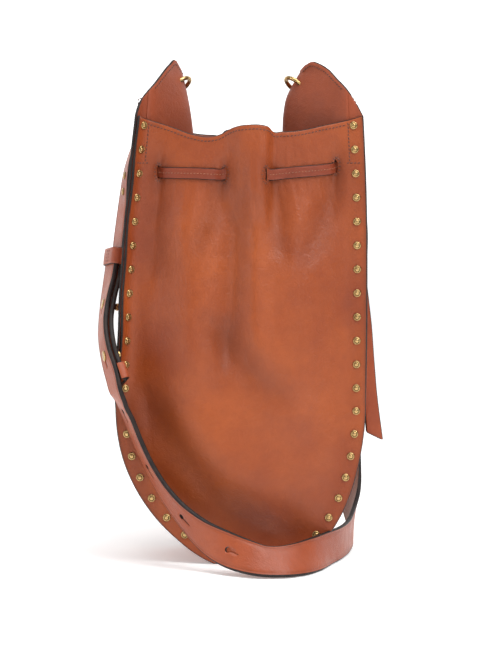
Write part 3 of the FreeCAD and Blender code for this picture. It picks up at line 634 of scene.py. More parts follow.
# ---- Gussets -------------------------------------------------------------------------------------
def fold_x(z, fold):
    """Distance of the folded gusset's edge from the middle at a height."""
    wall = half_width(np.minimum(z, CORNER)) - FLANGE
    deep = curve(fold, z)
    return wall + (deep - wall) * smooth((z - FOLD_START) / (FOLD_FULL - FOLD_START))


def flange_path(side, x, z):
    """Points of a gusset's flange behind a panel's."""
    point, out = on_panel(side, x, z)
    return point - out * (PANEL + PLY_GAP + PANEL / 2)


def gusset_path(side_x, fold, ear, row_x, row_z, edge_x, edge_z):
    """Points of a side gusset's middle from the front flange's edge over the wall to the back one's."""
    lift = np.clip((row_z - FOLD_START) / (CORNER - FOLD_START), 0, 1)
    lift = (smooth(lift) * lift)[:, None]
    inset = FLANGE_INSET[None, :]
    flanges = []
    for side in (-1, 1):
        x = edge_x[:, None] + (row_x - edge_x)[:, None] * inset
        z = edge_z[:, None] + (row_z - edge_z)[:, None] * inset
        point = flange_path(side, side_x * x, np.minimum(z, top_edge(side, side_x * x)))
        rise = curve(ear, edge_x[-1] + (row_x[-1] - edge_x[-1]) * inset) - CORNER
        point[..., 2] += (rise + CORNER - top_edge(side, side_x * x)) * lift
        flanges.append(point)
    f = wavy_columns(49, 1.0)[None, :] * 0.97
    bend = (np.hypot(f, 0.12) - 0.12) / (math.hypot(1, 0.12) - 0.12)
    near = curve(fold, 384)
    z = row_z[:, None] + (curve(ear, near + (row_x[-1] - near) * bend) - CORNER) * lift
    deep = fold_x(z, fold)
    x = np.where(row_z[:, None] > FOLD_START, deep + (row_x[:, None] - deep) * bend, row_x[:, None] + 0 * f)
    wall = leaned(np.stack([side_x * x, f * WALL_HALF + 0 * x, z], -1))
    path = np.concatenate([flanges[0], wall, flanges[1][:, ::-1]], 1)
    count = path.shape[1]
    for _ in range(3):
        soft = path.copy()
        soft[:, 1:-1] = (path[:, :-2] + 2 * path[:, 1:-1] + path[:, 2:]) / 4
        for corner in (7.5, count - 8.5):
            weight = smooth((4.0 - np.abs(np.arange(count) - corner)) / 3.0)[None, :, None]
            path = path + (soft - path) * weight
    return path


def gusset_rows():
    """(x, z) of the wall and of the flange's edge, from the base seam up to the top corner."""
    start = math.asin((BASE_HALF + BASE_GAP) / (HALF_WIDTH - FLANGE))
    t = np.linspace(start, math.pi / 2, 44)[:-1]
    high = np.linspace(ROUND_CENTRE, CORNER, 120)
    row_x = np.concatenate([(HALF_WIDTH - FLANGE) * np.sin(t), half_width(high) - FLANGE])
    row_z = np.concatenate([ROUND_CENTRE - (ROUND_HEIGHT - FLANGE) * np.cos(t), high])
    edge_x = np.concatenate([HALF_WIDTH * np.sin(t), half_width(high)])
    edge_z = np.concatenate([ROUND_CENTRE - ROUND_HEIGHT * np.cos(t), high])
    return row_x, row_z, edge_x, np.maximum(edge_z, 0.4)


def folded_wrinkles(path, side_x):
    """Soft buckles where the gusset starts to fold inward."""
    z = path[..., 2]
    across = np.linspace(-1, 1, path.shape[1])[None, :]
    size = 1.8 * np.exp(-((z - 238) / 42.0) ** 2) * (1 - across**2)
    path[..., 0] += side_x * size * np.sin(z / 9.5 + 2.2 * across)
    return path


GUSSETS = []                                  # grids of the side gussets' middle, facing outward
for name, side_x, fold, ear in (("left", -1, LEFT_FOLD, LEFT_EAR), ("right", 1, RIGHT_FOLD, RIGHT_EAR)):
    path = folded_wrinkles(gusset_path(side_x, fold, ear, *gusset_rows()), side_x)
    path = path if side_x < 0 else path[:, ::-1]
    GUSSETS.append(path)
    build(name + "_gusset_skin", sheet_parts(path, -PANEL / 2, PANEL / 2), (SHELL, FACING, EDGE),
          node=name + "_gusset", slot="leather_shell")
    lining = path[-46:, 7:-7]
    build(name + "_ear_lining", sheet_parts(lining, -PANEL / 2 - 0.55, -PANEL / 2 - 0.12),
          (FACING, FACING, FACING), node=name + "_ear_facing", slot="leather_facing")


def base_path():
    """Points of the base gusset's middle, from flange to flange under the bag."""
    reach = np.linspace(BASE_GAP - BASE_HALF, BASE_HALF - BASE_GAP, 70)
    inner_z = ROUND_CENTRE - (ROUND_HEIGHT - FLANGE) * np.sqrt(1 - (reach / (HALF_WIDTH - FLANGE)) ** 2)
    inner_z = np.maximum(inner_z, FLANGE)
    t = np.arcsin(reach / (HALF_WIDTH - FLANGE))
    outer_x, outer_z = HALF_WIDTH * np.sin(t), np.maximum(ROUND_CENTRE - ROUND_HEIGHT * np.cos(t), 0.5)
    inset = FLANGE_INSET[None, :]
    flanges = []
    for side in (-1, 1):
        x = outer_x[:, None] + (reach - outer_x)[:, None] * inset
        z = outer_z[:, None] + (inner_z - outer_z)[:, None] * inset
        flanges.append(flange_path(side, x, z))
    y = np.linspace(-0.96, 0.96, 30)[None, :] * WALL_HALF + 0 * reach[:, None]
    sag = -1.2 * np.cos(y / WALL_HALF * math.pi / 2)
    wall = leaned(np.stack([reach[:, None] + 0 * y, y, inner_z[:, None] + sag], -1))
    path = np.concatenate([flanges[0], wall, flanges[1][:, ::-1]], 1)
    for _ in range(2):
        path[:, 5:-5] = (path[:, 4:-6] + 2 * path[:, 5:-5] + path[:, 6:-4]) / 4
    return path[:, ::-1]


build("base_gusset_skin", sheet_parts(base_path(), -PANEL / 2, PANEL / 2), SHELL_SET,
      node="base_gusset", slot="leather_shell")


# ---- Rivets --------------------------------------------------------------------------------------
HEAD = ((0.0, 1.2), (0.5, 1.2), (1.0, 1.16), (1.45, 1.02), (1.62, 0.78), (1.85, 0.74), (2.05, 0.92), (2.4, 0.98),
        (2.75, 0.86), (3.0, 0.6), (3.12, 0.3), (3.12, -0.1), (2.6, -0.2))
HEAD_TONE = (0, 0, 0, 0.15, 0.9, 1.0, 0.5, 0.15, 0.2, 0.55, 0.9, 1.0, 1.0)
CAP = ((0.0, 0.8), (1.2, 0.8), (2.1, 0.66), (2.5, 0.4), (2.6, 0.0), (2.2, -0.1))


def centres(node):
    """(x, z) of each rivet in a CAD node, from the top down."""
    points = np.array([v.co for v in frame["nodes"][node].data.vertices])[:, [0, 2]] / MM
    found = []
    while len(points):
        top = points[points[:, 1].argmax()]
        near = np.hypot(*(points - top).T) < 9.0
        found.append((points[near].min(0) + points[near].max(0)) / 2)
        points = points[~near]
    return np.array(found)


def tilted(out, amount=0.05):
    return unit(out + RANDOM.normal(0, amount, out.shape))


for side, name in ((-1, "front"), (1, "back")):
    caps = []
    for hand in ("left", "right"):
        place = centres(f"{name}_studs_{hand}")
        point, out = on_panel(side, place[:, 0], place[:, 1])
        spin = RANDOM.normal(0, 1, out.shape)
        build(f"{name}_rivets_{hand}", placed(lathe(HEAD, HEAD_TONE), point + out * 0.1, tilted(out), spin),
              (BRASS,), node=f"{name}_studs_{hand}", slot="brass")
        depth = PANEL + PLY_GAP + PANEL
        caps.append(placed(lathe(CAP, (0.2,) * 6, 16), point - out * depth, -out, spin))
    build(name + "_rivet_backs", join(caps), (BRASS,), node=name + "_rivet_caps", slot="brass")


# ---- Rings ---------------------------------------------------------------------------------------
def ring_axes(out, across):
    """Way from a ring's centre to the strap, and the ring's axis."""
    out = unit(np.array(out, float))
    across = unit(np.array(across, float) - out * np.dot(across, out))
    return out, np.cross(out, across)


RING_RADIUS, RING_WIRE = 8.8, 1.7
LEFT_OUT, LEFT_NORMAL = ring_axes((-0.8, 0.0, -0.6), (-0.2, -0.94, 0.27))
RIGHT_OUT, RIGHT_NORMAL = ring_axes((0.8, 0.0, -0.6), (0.2, -0.94, 0.27))
for name, centre, normal in (("left", LEFT_RING, LEFT_NORMAL), ("right", RIGHT_RING, RIGHT_NORMAL)):
    build(name + "_wire_ring", tube_round(centre, normal, RING_RADIUS, RING_WIRE), (BRASS,),
          body=name + "_ring", node=name + "_ring", slot="brass")


# ---- Shoulder strap ------------------------------------------------------------------------------
# A station is a row: x, y, z of the strap's middle line, the x, y, z of the way its outer face looks, and its
# half-width where it tapers. The points are chosen along the strap's route.
SHORT_RUN = (
    (-59.5, 0, 369.5, -0.6, 0, 0.8, 3.6), (-61.6, 0, 367, -0.6, 0, 0.8, 4), (-69, 0, 357.5, -0.7, 0, 0.7, 8),
    (-79.5, -1.3, 344, -0.85, 0, 0.5), (-87.5, -2.6, 328.5, -0.95, -0.1, 0.3), (-91.3, -4, 316, -0.96, -0.15, 0.25),
    (-93.3, -5, 305, -0.96, -0.2, 0.2), (-94.6, -6, 292.5, -0.95, -0.25, 0.2), (-95.8, -7, 280, -0.94, -0.3, 0.18),
    (-97.3, -9, 267, -0.94, -0.32, 0.15), (-98.6, -11, 256, -0.94, -0.33, 0.12),
    (-99.5, -13.2, 245, -0.94, -0.33, 0.1), (-102.5, -18, 222, -0.94, -0.34, 0.1),
    (-105.2, -29.5, 203, -0.94, -0.34, 0), (-106, -43, 185, -0.94, -0.34, -0.1),
    (-102.5, -55.5, 166, -0.92, -0.38, -0.2), (-98, -61.5, 152, -0.9, -0.42, -0.2),
    (-95.2, -64, 144, -0.88, -0.46, -0.2),
)
LONG_START = 10                               # the short strap's station where the long one starts on it
LONG_TRIM = 11.2                              # cut off the long strap's start, inside the keeper
LEFT_RIVETS, RIGHT_RIVETS = (6, 7), (36, 37)  # stations of the short and the long strap
COLLARS = (("upper", 13), ("lower", 15))      # stations of the short strap
KEYHOLE_FIRST, KEYHOLE_PITCH, KEYHOLES = 56.5, 47.0, 6
LONG_RUN = (
    (-98.2, -66.2, 137, -0.93, -0.35, -0.15), (-94.6, -64, 129, -0.93, -0.3, -0.2),
    (-89.6, -62.2, 117.5, -0.92, -0.3, -0.25), (-82.6, -62, 99.5, -0.9, -0.3, -0.32),
    (-73.6, -62.8, 80, -0.86, -0.32, -0.4), (-62.3, -65, 61, -0.74, -0.42, -0.53),
    (-47.5, -70.5, 43, -0.54, -0.62, -0.57), (-31, -80, 29, -0.34, -0.86, -0.33),
    (-13.5, -90, 20, -0.12, -0.97, 0.1), (2, -96.5, 15, 0, -0.9, 0.4), (13.5, -99.5, 12.4, 0, -0.78, 0.6),
    (28.6, -98.5, 11.6, 0.1, -0.75, 0.6), (41.5, -91, 11.9, 0.4, -0.72, 0.5), (54, -76, 12.8, 0.65, -0.65, 0.3),
    (66, -51, 13.4, 0.85, -0.5, 0.1), (77, -24, 13.4, 0.95, -0.3, 0), (84.5, 6, 13.6, 1, -0.1, 0),
    (88.5, 33, 15.4, 1, 0.05, 0), (90.5, 60, 22.5, 0.95, 0.25, -0.1), (89.5, 81, 40, 0.75, 0.6, -0.25),
    (87.5, 93, 62, 0.5, 0.85, -0.2), (85.5, 100.5, 88, 0.25, 0.97, -0.1), (84.5, 103, 125, 0.15, 1, 0),
    (86, 97, 168, 0.3, 0.95, 0.1), (90.5, 83.5, 208, 0.55, 0.85, 0.1), (94.5, 68, 240, 0.85, 0.5, 0.1),
    (98.2, 52, 266, 1, 0.12, 0.05), (98, 43, 278, 1, 0, 0.08), (96.6, 34.5, 290, 1, 0, 0.15),
    (90.6, 21.5, 311, 0.97, 0, 0.3), (85.6, 15.8, 320.8, 0.93, 0, 0.38), (79.8, 11, 330, 0.9, 0, 0.45),
    (68.5, 4, 345, 0.8, 0, 0.6), (59, 1, 357.5, 0.7, 0, 0.7, 8), (51.6, 0, 367, 0.6, 0, 0.8, 4),
    (49.5, 0, 369.5, 0.6, 0, 0.8, 3.6),
)


def strap_frames(run):
    """Arrays of points, ways across, ways out and half-widths, squared to the strap's direction."""
    points = np.array([s[:3] for s in run], float)
    face = unit(np.array([s[3:6] for s in run], float))
    along = points.copy()
    along[1:-1] = points[2:] - points[:-2]
    along[0], along[-1] = points[1] - points[0], points[-1] - points[-2]
    along = unit(along)
    across = unit(np.cross(face, along))
    half = np.array([s[6] if len(s) > 6 else STRAP_HALF for s in run], float)
    return points, across, np.cross(along, across), half


def dense(frames, step=2.2):
    """The same strap with a station every few millimetres on a smooth line."""
    points, across, _, half = frames
    place = distances(points)
    t = np.linspace(0, place[-1], int(place[-1] / step) + 1)

    def through(values):
        return curve([(p, v) for p, v in zip(place, values)], t)
    points = through(points)
    along = unit(np.gradient(points, axis=0))
    across = through(across)
    across = unit(across - along * np.sum(across * along, -1, keepdims=True))
    return points, across, np.cross(along, across), through(half), t


def at(strap, place):
    """(point, across, along, out) of a dense strap at a distance from its start."""
    points, across, out, _, t = strap
    i = int(np.clip(np.searchsorted(t, place), 1, len(t) - 1))
    share = (place - t[i - 1]) / (t[i] - t[i - 1])
    mixed = [a[i - 1] + (a[i] - a[i - 1]) * share for a in (points, across, out)]
    return mixed[0], mixed[1], np.cross(mixed[1], mixed[2]), mixed[2]


# places across a strap, from edge to edge, and how deep the creased line is there
PROFILE = (-1.0, -0.97, -0.93, -0.89, -0.86, -0.83, -0.6, -0.3, 0.0, 0.3, 0.6, 0.83, 0.86, 0.89, 0.93, 0.97, 1.0)
CREASE = (0, 0, 0, 0.05, 0.3, 0.05, 0, 0, 0, 0, 0, 0.05, 0.3, 0.05, 0, 0, 0)


def band(strap, thick=STRAP, crease=1.0):
    """Flat strap with rounded, painted edges and a creased line along each of them."""
    points, across, _, half, _ = strap
    s = np.array(PROFILE)
    grid = points[:, None] + across[:, None] * (half[:, None] * s[None])[..., None]
    dip = np.array(CREASE)[None, :, None] * crease
    high = thick / 2 - dip
    low = -thick / 2 + dip * 0.6
    tone = np.broadcast_to(np.array(CREASE) * 1.6 + 0.5 * (np.abs(s) > 0.965), grid.shape[:2])
    verts, faces, kinds, shade = sheet_parts(grid, low, high, tone, 0.26)
    strip = np.arange(2 * (len(points) - 1) * (len(s) - 1)) % (len(s) - 1)
    painted = (strip == 0) | (strip == len(s) - 2)
    kinds[:len(strip)][painted] = 2
    return verts, faces, kinds, shade


def station_place(frames, index):
    return np.linalg.norm(np.diff(frames[0], axis=0), axis=1)[:index].sum()


short_frames = strap_frames(SHORT_RUN)
SHORT = dense(short_frames)
shared = [(*(p + o * STRAP_STEP), *o, h)
          for p, o, h in list(zip(short_frames[0], short_frames[2], short_frames[3]))[LONG_START:-1]]
long_frames = strap_frames(tuple(shared) + LONG_RUN)
LONG = dense(long_frames)


def loop_run(ring, out, strap, length):
    """Strap end that comes up under the strap, goes round the ring's wire and meets it again."""
    middle = ring + out * (RING_RADIUS - 0.5)
    end, _, _, end_out = at(strap, 0.5)
    away = unit(end - middle)
    side = unit(end_out - away * np.dot(end_out, away))
    stations = []
    for place in np.linspace(length, 7.0, 8):
        p, _, _, o = at(strap, place)
        width = float(np.interp(place, strap[4], strap[3])) - 0.4
        stations.append((*(p - o * (STRAP / 2 + 1.4)), *o, width))
    for angle in np.linspace(-60, 230, 12):
        t = math.radians(angle)
        spoke = -away * math.sin(t) - side * math.cos(t)
        stations.append((*(middle + spoke * 3.2), *-spoke, 3.6))
    return stations


def short_strap():
    body = band(SHORT)
    under = dense(strap_frames(loop_run(LEFT_RING, LEFT_OUT, SHORT, 97.0)), 1.2)
    return join([body, band(under, 1.7, 0.0)])


def long_strap():
    points, across, out, half, t = LONG
    backwards = (points[::-1], -across[::-1], out[::-1], half[::-1], t[-1] - t[::-1])
    under = dense(strap_frames(loop_run(RIGHT_RING, RIGHT_OUT, backwards, 86.0)), 1.2)
    first = int(np.searchsorted(t, LONG_TRIM))
    return join([band(tuple(a[first:] for a in LONG)), band(under, 1.7, 0.0)])


def keyholes():
    """Cutters for the strap's adjustment slits, a round hole with a slit below it."""
    outline = [(9.5, -0.35), (9.9, 0.0), (9.5, 0.35)]
    outline += [(2.2 * math.cos(t), 2.2 * math.sin(t)) for t in np.linspace(0.26, 2 * math.pi - 0.26, 18)]
    rings = []
    for place in KEYHOLE_FIRST + KEYHOLE_PITCH * np.arange(KEYHOLES):
        point, across, along, out = at(LONG, place)
        ring = np.array([point + along * a + across * b for a, b in outline])
        rings.append((ring + out * -3.0, ring + out * 3.0))
    return prisms("keyholes", rings)


build("strap_short_leather", short_strap(), STRAP_SET, body="strap", node="strap_short", slot="leather_strap")
long_leather = build("strap_long_leather", long_strap(), STRAP_SET, body="strap", node="strap_long",
                     slot="leather_strap")
subtract(long_leather, keyholes())


def rivet_pair(strap, frames, stations):
    """Two rivets through a strap's end and the layer folded back under it, with a head on either side."""
    parts = []
    for station in stations:
        point, _, along, out = at(strap, station_place(frames, station))
        parts.append(placed(lathe(HEAD, HEAD_TONE), [point + out * (STRAP / 2)], [out], [along]))
        parts.append(placed(lathe(HEAD, HEAD_TONE), [point + out * (-STRAP / 2 - 2.4)], [-out], [along]))
    return join(parts)


for name, pair in (("left", rivet_pair(SHORT, short_frames, LEFT_RIVETS)),
                   ("right", rivet_pair(LONG, long_frames, RIGHT_RIVETS))):
    build("strap_pair_" + name, pair, (BRASS,), body="strap", node="strap_rivets_" + name, slot="brass")


def keeper_loop(strap, place, low, high, length=12.5, wall=1.8, closed=True):
    """Leather loop round the strap, from low to high along its outward way."""
    point, across, along, out = at(strap, place)
    wide, top, bottom = STRAP_HALF + 0.7, high + 0.7, low - 0.7
    middle, tall = (top + bottom) / 2, (top - bottom) / 2
    ring = []
    for t in np.linspace(0, 2 * math.pi, 64, endpoint=False):
        c, s = math.cos(t), math.sin(t)
        scale = 1 / max(abs(c), abs(s))
        square = np.array([c * scale * wide, s * scale * tall])
        pull = 1 - 0.035 * abs(math.sin(2 * t)) ** 6
        ring.append(square * pull)
    ring = np.array(ring)
    for _ in range(2):
        ring = (np.roll(ring, 1, 0) + 2 * ring + np.roll(ring, -1, 0)) / 4
    if closed:
        ring = np.vstack([ring, ring[:1]])
    else:
        keep = ring[:, 1] < tall * 0.86
        start = int(np.argmax(~keep & np.roll(keep, -1))) + 1
        ring = np.roll(ring, -start, 0)[:int(keep.sum())]
    loop = point + across * ring[:, :1] + out * (ring[:, 1:] + middle)
    steps = np.linspace(-length / 2, length / 2, 9)
    pucker = 0.25 * np.cos(steps / length * math.pi)
    grid = loop[None] + along * steps[:, None, None]
    grid = grid + unit(loop - point)[None] * pucker[:, None, None]
    centre_out = np.sum(normals(grid)[4] * (loop - point), -1).mean()
    if centre_out < 0:
        grid = grid[:, ::-1]
    return sheet_parts(grid, 0.0, wall, None, 0.25)


UPPER_KEEPER = station_place(short_frames, 11) + 4.74
LOWER_KEEPER = station_place(short_frames, 16) + 1.6
build("keeper_upper_leather", keeper_loop(SHORT, UPPER_KEEPER, -STRAP / 2, STRAP_STEP + STRAP / 2), STRAP_SET,
      body="keeper_upper", node="keeper_upper", slot="leather_strap")
build("keeper_lower_leather",
      keeper_loop(SHORT, LOWER_KEEPER, -STRAP / 2, STRAP_STEP - STRAP / 2 - 0.6, closed=False), STRAP_SET,
      body="strap", node="keeper_lower", slot="leather_strap")

KNOB = ((0.0, 6.2), (0.9, 6.05), (1.9, 5.5), (2.7, 4.5), (3.0, 3.4), (2.7, 2.3), (2.1, 1.5), (1.9, 1.1), (2.2, 0.9),
        (3.0, 0.8), (3.1, 0.4), (3.0, 0.1), (1.9, 0.0), (1.9, -7.6))
KNOB_TONE = (0, 0, 0, 0, 0.1, 0.3, 0.6, 0.9, 0.9, 0.4, 0.3, 0.6, 1, 1)
SCREW = ((0.0, 0.9), (0.6, 0.9), (2.2, 0.9), (2.9, 0.95), (3.7, 0.85), (4.1, 0.5), (4.2, 0.1), (4.0, 0.0),
         (3.4, -0.1))
SCREW_TONE = (0.4, 0.4, 0.2, 0, 0, 0.2, 0.6, 1, 1)
for name, station in COLLARS:
    point, _, along, out = at(SHORT, station_place(short_frames, station))
    build("collar_knob_" + name, placed(lathe(KNOB, KNOB_TONE, 28), [point - out * STRAP / 2], [-out], [along]),
          (BRASS,), body="strap", node="collar_stud_" + name, slot="brass")
    head = placed(lathe(SCREW, SCREW_TONE, 28), [point + out * (STRAP_STEP + STRAP / 2)], [out], [along])
    build("collar_disc_" + name, head, (BRASS,), body="strap", node="collar_screw_" + name, slot="brass")


# ---- Drawstring ----------------------------------------------------------------------------------
def over_panel(side, xs, lift):
    """Points of the drawstring at places xs, as far outside a panel's face as lift says."""
    point, out = on_panel(side, np.array(xs, float), np.full(len(xs), LACE_HEIGHT))
    return point + out * np.array(lift)[:, None]


def lace_line():
    """Middle line of the whole drawstring with its height at each place."""
    tail_x = box_mm("tail_front")[0][0] + 4.0
    right = [(tail_x, 4.0, 0), (tail_x - 0.5, -9, 0), (81, -24, 0), (75.5, -36, 0)]
    start = [np.array([x, y, LACE_HEIGHT + d]) for x, y, d in right]
    front_right = over_panel(-1, (70.4, 68.4, 65, 58, 48, 38, 26, 17.0), (-3.6, -1.2, 0.9, 1.2, 1.2, 1.2, 1.4, 0.4))
    hidden = over_panel(-1, (11.5, 4, -5, -14.5), (-4.4, -4.8, -4.8, -4.4))
    front_left = over_panel(-1, (-19.5, -27, -38, -48, -58, -65, -68.4, -70.4),
                            (0.4, 1.4, 1.2, 1.2, 1.2, 0.9, -1.2, -3.6))
    front_right[:, 2] += np.linspace(3.2, -3.4, 8)
    front_left[:, 2] += np.linspace(-3.0, -1.2, 8)
    left = curve(LEFT_FOLD, FOLD_FULL)
    around = [np.array([x + 5.0, y, LACE_HEIGHT]) for x, y in (
        (-left - 19, -27), (-left - 9, -14), (-left - 2.5, -5), (-left - 1.0, 0), (-left - 2.5, 5),
        (-left - 9, 14), (-left - 19, 27))]
    back_left = over_panel(1, (-69.5, -66, -60, -50, -38, -27, -19.5), (-2.6, 1.2, 1.6, 1.3, 1.3, 1.6, 0.6))
    back_hidden = over_panel(1, (-13, -5, 5, 14), (-4.2, -4.6, -4.6, -4.2))
    back_right = over_panel(1, (19.5, 27, 38, 50, 60, 66, 69.5), (0.6, 1.6, 1.3, 1.3, 1.6, 1.2, -2.6))
    end = [np.array([x, y, LACE_HEIGHT]) for x, y in ((75.5, 36), (81, 26), (tail_x - 0.5, 16), (tail_x, 6))]
    parts = [start, front_right, hidden, front_left, around, back_left, back_hidden, back_right, end]
    return np.concatenate([np.asarray(p) for p in parts])


def lace_strap():
    """The drawstring as a strap that stands on its edge."""
    line = lace_line()
    place = distances(line)
    t = np.linspace(0, place[-1], int(place[-1] / 1.3))
    points = curve([(p, v) for p, v in zip(place, line)], t)
    along = unit(np.gradient(points, axis=0))
    up = np.array([0, 0, 1.0])
    across = unit(up - along * along[:, 2:3])
    out = np.cross(along, across)
    half = np.full(len(t), 0.86 * (LACE_HIGH[2] - LACE_LOW[2]) / 2)
    return points, across, out, half, t


LACE = lace_strap()
build("drawstring_lace", band(LACE, 1.6, 0.4), (LACING, LACING, EDGE), node="drawstring", slot="leather_strap")


def tail_grid(y, swing, flare):
    """End tab of the drawstring: narrow at its top, wide and slanted at its foot."""
    top = LACE_HEIGHT - 5.7
    left = ((0, 80.5), (52, 86.5), (89, 90.6), (124, 93.4), (164, 96.4), (204, 99.2))
    right = ((0, 88.0), (52, 95.0), (89, 98.8), (118, 102.2), (144, 104.2), (176, 107.0), (211, 111.6))
    s = np.linspace(0, 1, 90)[:, None]
    u = np.linspace(0, 1, 14)[None, :]
    down = s * (204.5 + 6.0 * u)
    x = curve(left, down) * (1 - u) + curve(right, down) * u
    z = top - down
    bow = 2.2 * np.sin(down / 204 * math.pi) + flare * np.sin(down / 31.0)
    yy = y + swing * (down / 204) ** 2 + bow * 0.35 + 0 * u
    return np.stack([x, yy, z], -1)


for name, y, swing, flare in (("front", 2.2, -1.6, 0.3), ("back", 7.6, 2.4, -0.3)):
    grid = tail_grid(y, swing, flare)
    build("tab_" + name, sheet_parts(grid, -1.0, 1.0, None, 0.3), (BRIDLE, BRIDLE, EDGE), body="tail_" + name,
          node="tail_" + name, slot="leather_strap")


# ---- Stitching -----------------------------------------------------------------------------------
STITCH_MARGIN = 3.0                           # from an edge to the stitches along it
PATCH_WIDE, PATCH_TALL = 11.4, 36.0           # stitched outline at each top corner


def stitch_shape(length=2.2, wide=0.42, tall=0.34):
    """One stitch: a rounded bar that lies along X."""
    verts, rings, around = [], 7, 8
    for i in range(rings):
        s = -1 + 2 * i / (rings - 1)
        r = math.sqrt(max(0.0, 1 - abs(s) ** 3.0)) + 0.04
        for j in range(around):
            t = 2 * math.pi * j / around
            verts.append((s * length / 2, wide * r * math.cos(t), tall * r * math.sin(t)))
    faces = grid_faces(rings, around)
    return np.array(verts), faces, np.zeros(len(faces), int), np.zeros(len(verts))


def stitches(line, out, pitch=2.8, slant=0.22, **shape):
    """Slanted stitches along a line of points that have outward normals."""
    place = distances(line)
    t = np.arange(pitch / 2, place[-1], pitch)
    points = np.stack([np.interp(t, place, line[:, k]) for k in range(3)], -1)
    ups = unit(np.stack([np.interp(t, place, out[:, k]) for k in range(3)], -1))
    along = np.stack([np.interp(t + 0.5, place, line[:, k]) - np.interp(t - 0.5, place, line[:, k])
                      for k in range(3)], -1)
    along = unit(along)
    along = along + np.cross(ups, along) * slant
    return placed(stitch_shape(**shape), points + ups * 0.05, ups, along)


def shell_stitches():
    """Stitches along the panels' top edges and round the patch at each top corner."""
    parts = []
    for side in (-1, 1):
        u = np.linspace(-0.87, 0.87, 400)
        x = u * half_width(CORNER)
        point, out = on_panel(side, x, top_edge(side, x) - STITCH_MARGIN)
        parts.append(stitches(point, out))
        for hand in (-1, 1):
            edge = half_width(CORNER)
            column = np.linspace(CORNER - 4.5, CORNER - PATCH_TALL, 60)
            x = hand * (half_width(column) - PATCH_WIDE)
            point, out = on_panel(side, x, column)
            parts.append(stitches(point, out))
            x = hand * np.linspace(edge - PATCH_WIDE, edge - 1.5, 30)
            point, out = on_panel(side, x, np.full(30, CORNER - PATCH_TALL))
            parts.append(stitches(point, out))
    return join(parts)


def ear_stitches():
    """Stitches along the ears' top edges, inside and outside."""
    parts = []
    for path in GUSSETS:
        n = normals(path)
        inner = path - n * (PANEL / 2 + 0.6)
        top, below = inner[-1, 9:-9], inner[-2, 9:-9]
        down = unit(below - top)
        parts.append(stitches(top + down * STITCH_MARGIN, -n[-1, 9:-9]))
        outer = path + n * (PANEL / 2)
        line = outer[-1, 4:-4] + unit(outer[-2, 4:-4] - outer[-1, 4:-4]) * STITCH_MARGIN
        parts.append(stitches(line, n[-1, 4:-4]))
    return join(parts)


def lace_stitches():
    """A line of stitches on both faces of the drawstring."""
    points, _, out, _, _ = LACE
    return join([stitches(points + face * 0.82, face, 2.6, 0.15, length=1.8, wide=0.28) for face in (out, -out)])


def slot_stitches():
    """Whipped stitches round each slot."""
    parts = []
    for side in (-1, 1):
        for x, rise in zip(SLOT_X, SLOT_RISE):
            z = LACE_HEIGHT + (rise if side < 0 else 0.0)
            t = np.linspace(0, 2 * math.pi, 15)[:-1]
            point, out = on_panel(side, x + 2.8 * np.cos(t), z + 6.8 * np.sin(t))
            middle, _ = on_panel(side, np.full(14, x), z + 5.0 * np.sin(t))
            parts.append(placed(stitch_shape(2.4, 0.3, 0.28), point + out * 0.05, out, point - middle))
    return join(parts)


def keeper_stitches():
    """Two short rows on the upper keeper's outer face."""
    point, across, along, out = at(SHORT, UPPER_KEEPER)
    spots = [point + out * (STRAP_STEP + STRAP / 2 + 2.55) + along * s + across * c
             for c in (-2.5, 2.5) for s in np.linspace(-4, 4, 4)]
    return placed(stitch_shape(1.9), spots, [out] * 8, [along] * 8)


for name, parts, body, material in (
        ("shell_stitching", shell_stitches(), "bag", THREAD), ("ear_stitching", ear_stitches(), "bag", THREAD),
        ("lace_stitching", lace_stitches(), "bag", LACE_THREAD), ("slot_stitching", slot_stitches(), "bag", THREAD),
        ("keeper_stitching", keeper_stitches(), "keeper_upper", THREAD)):
    build(name, parts, (material,), body=body)


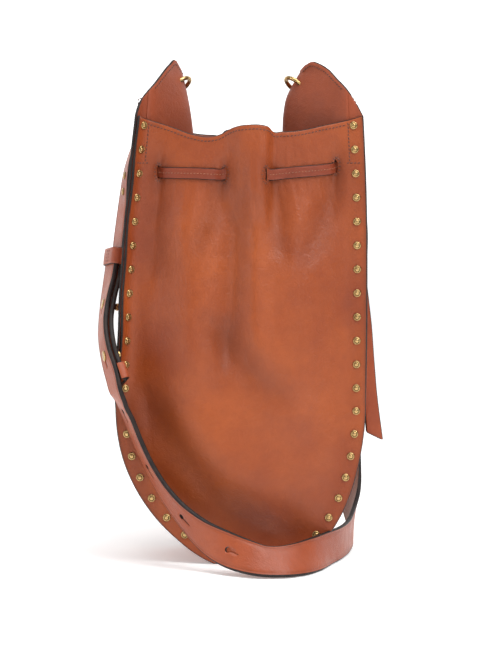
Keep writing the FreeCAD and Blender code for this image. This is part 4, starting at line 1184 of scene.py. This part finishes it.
# ---- Floor, light and camera ---------------------------------------------------------------------
def floor():
    """Pale floor that curves up into a backdrop and glows a little more higher up."""
    n = Nodes("pale_floor")
    color = n.mix(n.spread(n.noise(3, 2), 0.3, 0.7), (0.93, 0.93, 0.93), (0.95, 0.95, 0.95))
    material = n.finish(color, n.spread(n.noise(40, 2), 0.3, 0.7, 0.55, 0.65))
    n.shader.inputs["Emission Color"].default_value = (1, 1, 1, 1)
    height = n.add("ShaderNodeSeparateXYZ")
    n.link(n.place, height.inputs[0])
    n.link(n.spread(height.outputs["Z"], 0.0, 0.4, 0.22, 0.8), n.shader.inputs["Emission Strength"])
    profile = [(-9.0, 0.0), (2.4, 0.0), (3.2, 0.06), (3.9, 0.35), (4.4, 0.95), (4.6, 1.8), (4.65, 6.0)]
    verts = [(x, y, z) for y, z in profile for x in np.linspace(-9, 9, 7)]
    mesh = bpy.data.meshes.new("floor")
    mesh.from_pydata(verts, [], grid_faces(len(profile), 7, close_cols=False).tolist())
    mesh.polygons.foreach_set("use_smooth", [True] * len(mesh.polygons))
    mesh.materials.append(material)
    add_object("floor", mesh)


def lamp(name, place, aim, size, power, color=(1, 1, 1)):
    data = bpy.data.lights.new(name, "AREA")
    data.shape, data.size, data.size_y = "RECTANGLE", size[0], size[1]
    data.energy, data.color = power, color
    light = add_object(name, data)
    light.location = place
    light.rotation_euler = (Vector(aim) - Vector(place)).to_track_quat("-Z", "Y").to_euler()


def camera():
    """Camera in front of the bag, slightly above its middle."""
    data = bpy.data.cameras.new("camera")
    data.sensor_fit, data.sensor_height, data.lens = "VERTICAL", 36.0, 110.7
    data.clip_start, data.clip_end = 0.05, 60.0
    eye, aim = Vector((0.0047, -1.645, 0.300)), Vector((0.0047, -0.045, 0.1821))
    view = add_object("camera", data)
    view.location = eye
    view.rotation_euler = (aim - eye).to_track_quat("-Z", "Y").to_euler()
    bpy.context.scene.camera = view


def world():
    sky = bpy.data.worlds.new("studio")
    sky.use_nodes = True
    sky.node_tree.nodes["Background"].inputs["Color"].default_value = (1, 1, 1, 1)
    sky.node_tree.nodes["Background"].inputs["Strength"].default_value = 0.28
    bpy.context.scene.world = sky


floor()
lamp("key_right", (1.5, -1.5, 2.0), (0, 0, 0.2), (1.0, 1.0), 36)
lamp("card_left", (-2.0, -0.7, 0.9), (0, 0, 0.18), (0.8, 1.8), 12)
lamp("top", (0.2, -0.6, 2.6), (0, 0, 0), (2.0, 1.5), 46)
lamp("front_strip", (0.3, -2.6, 1.3), (0, 0, 0.2), (0.5, 1.6), 6)
camera()
world()
bpy.context.scene.view_settings.view_transform = "Standard"
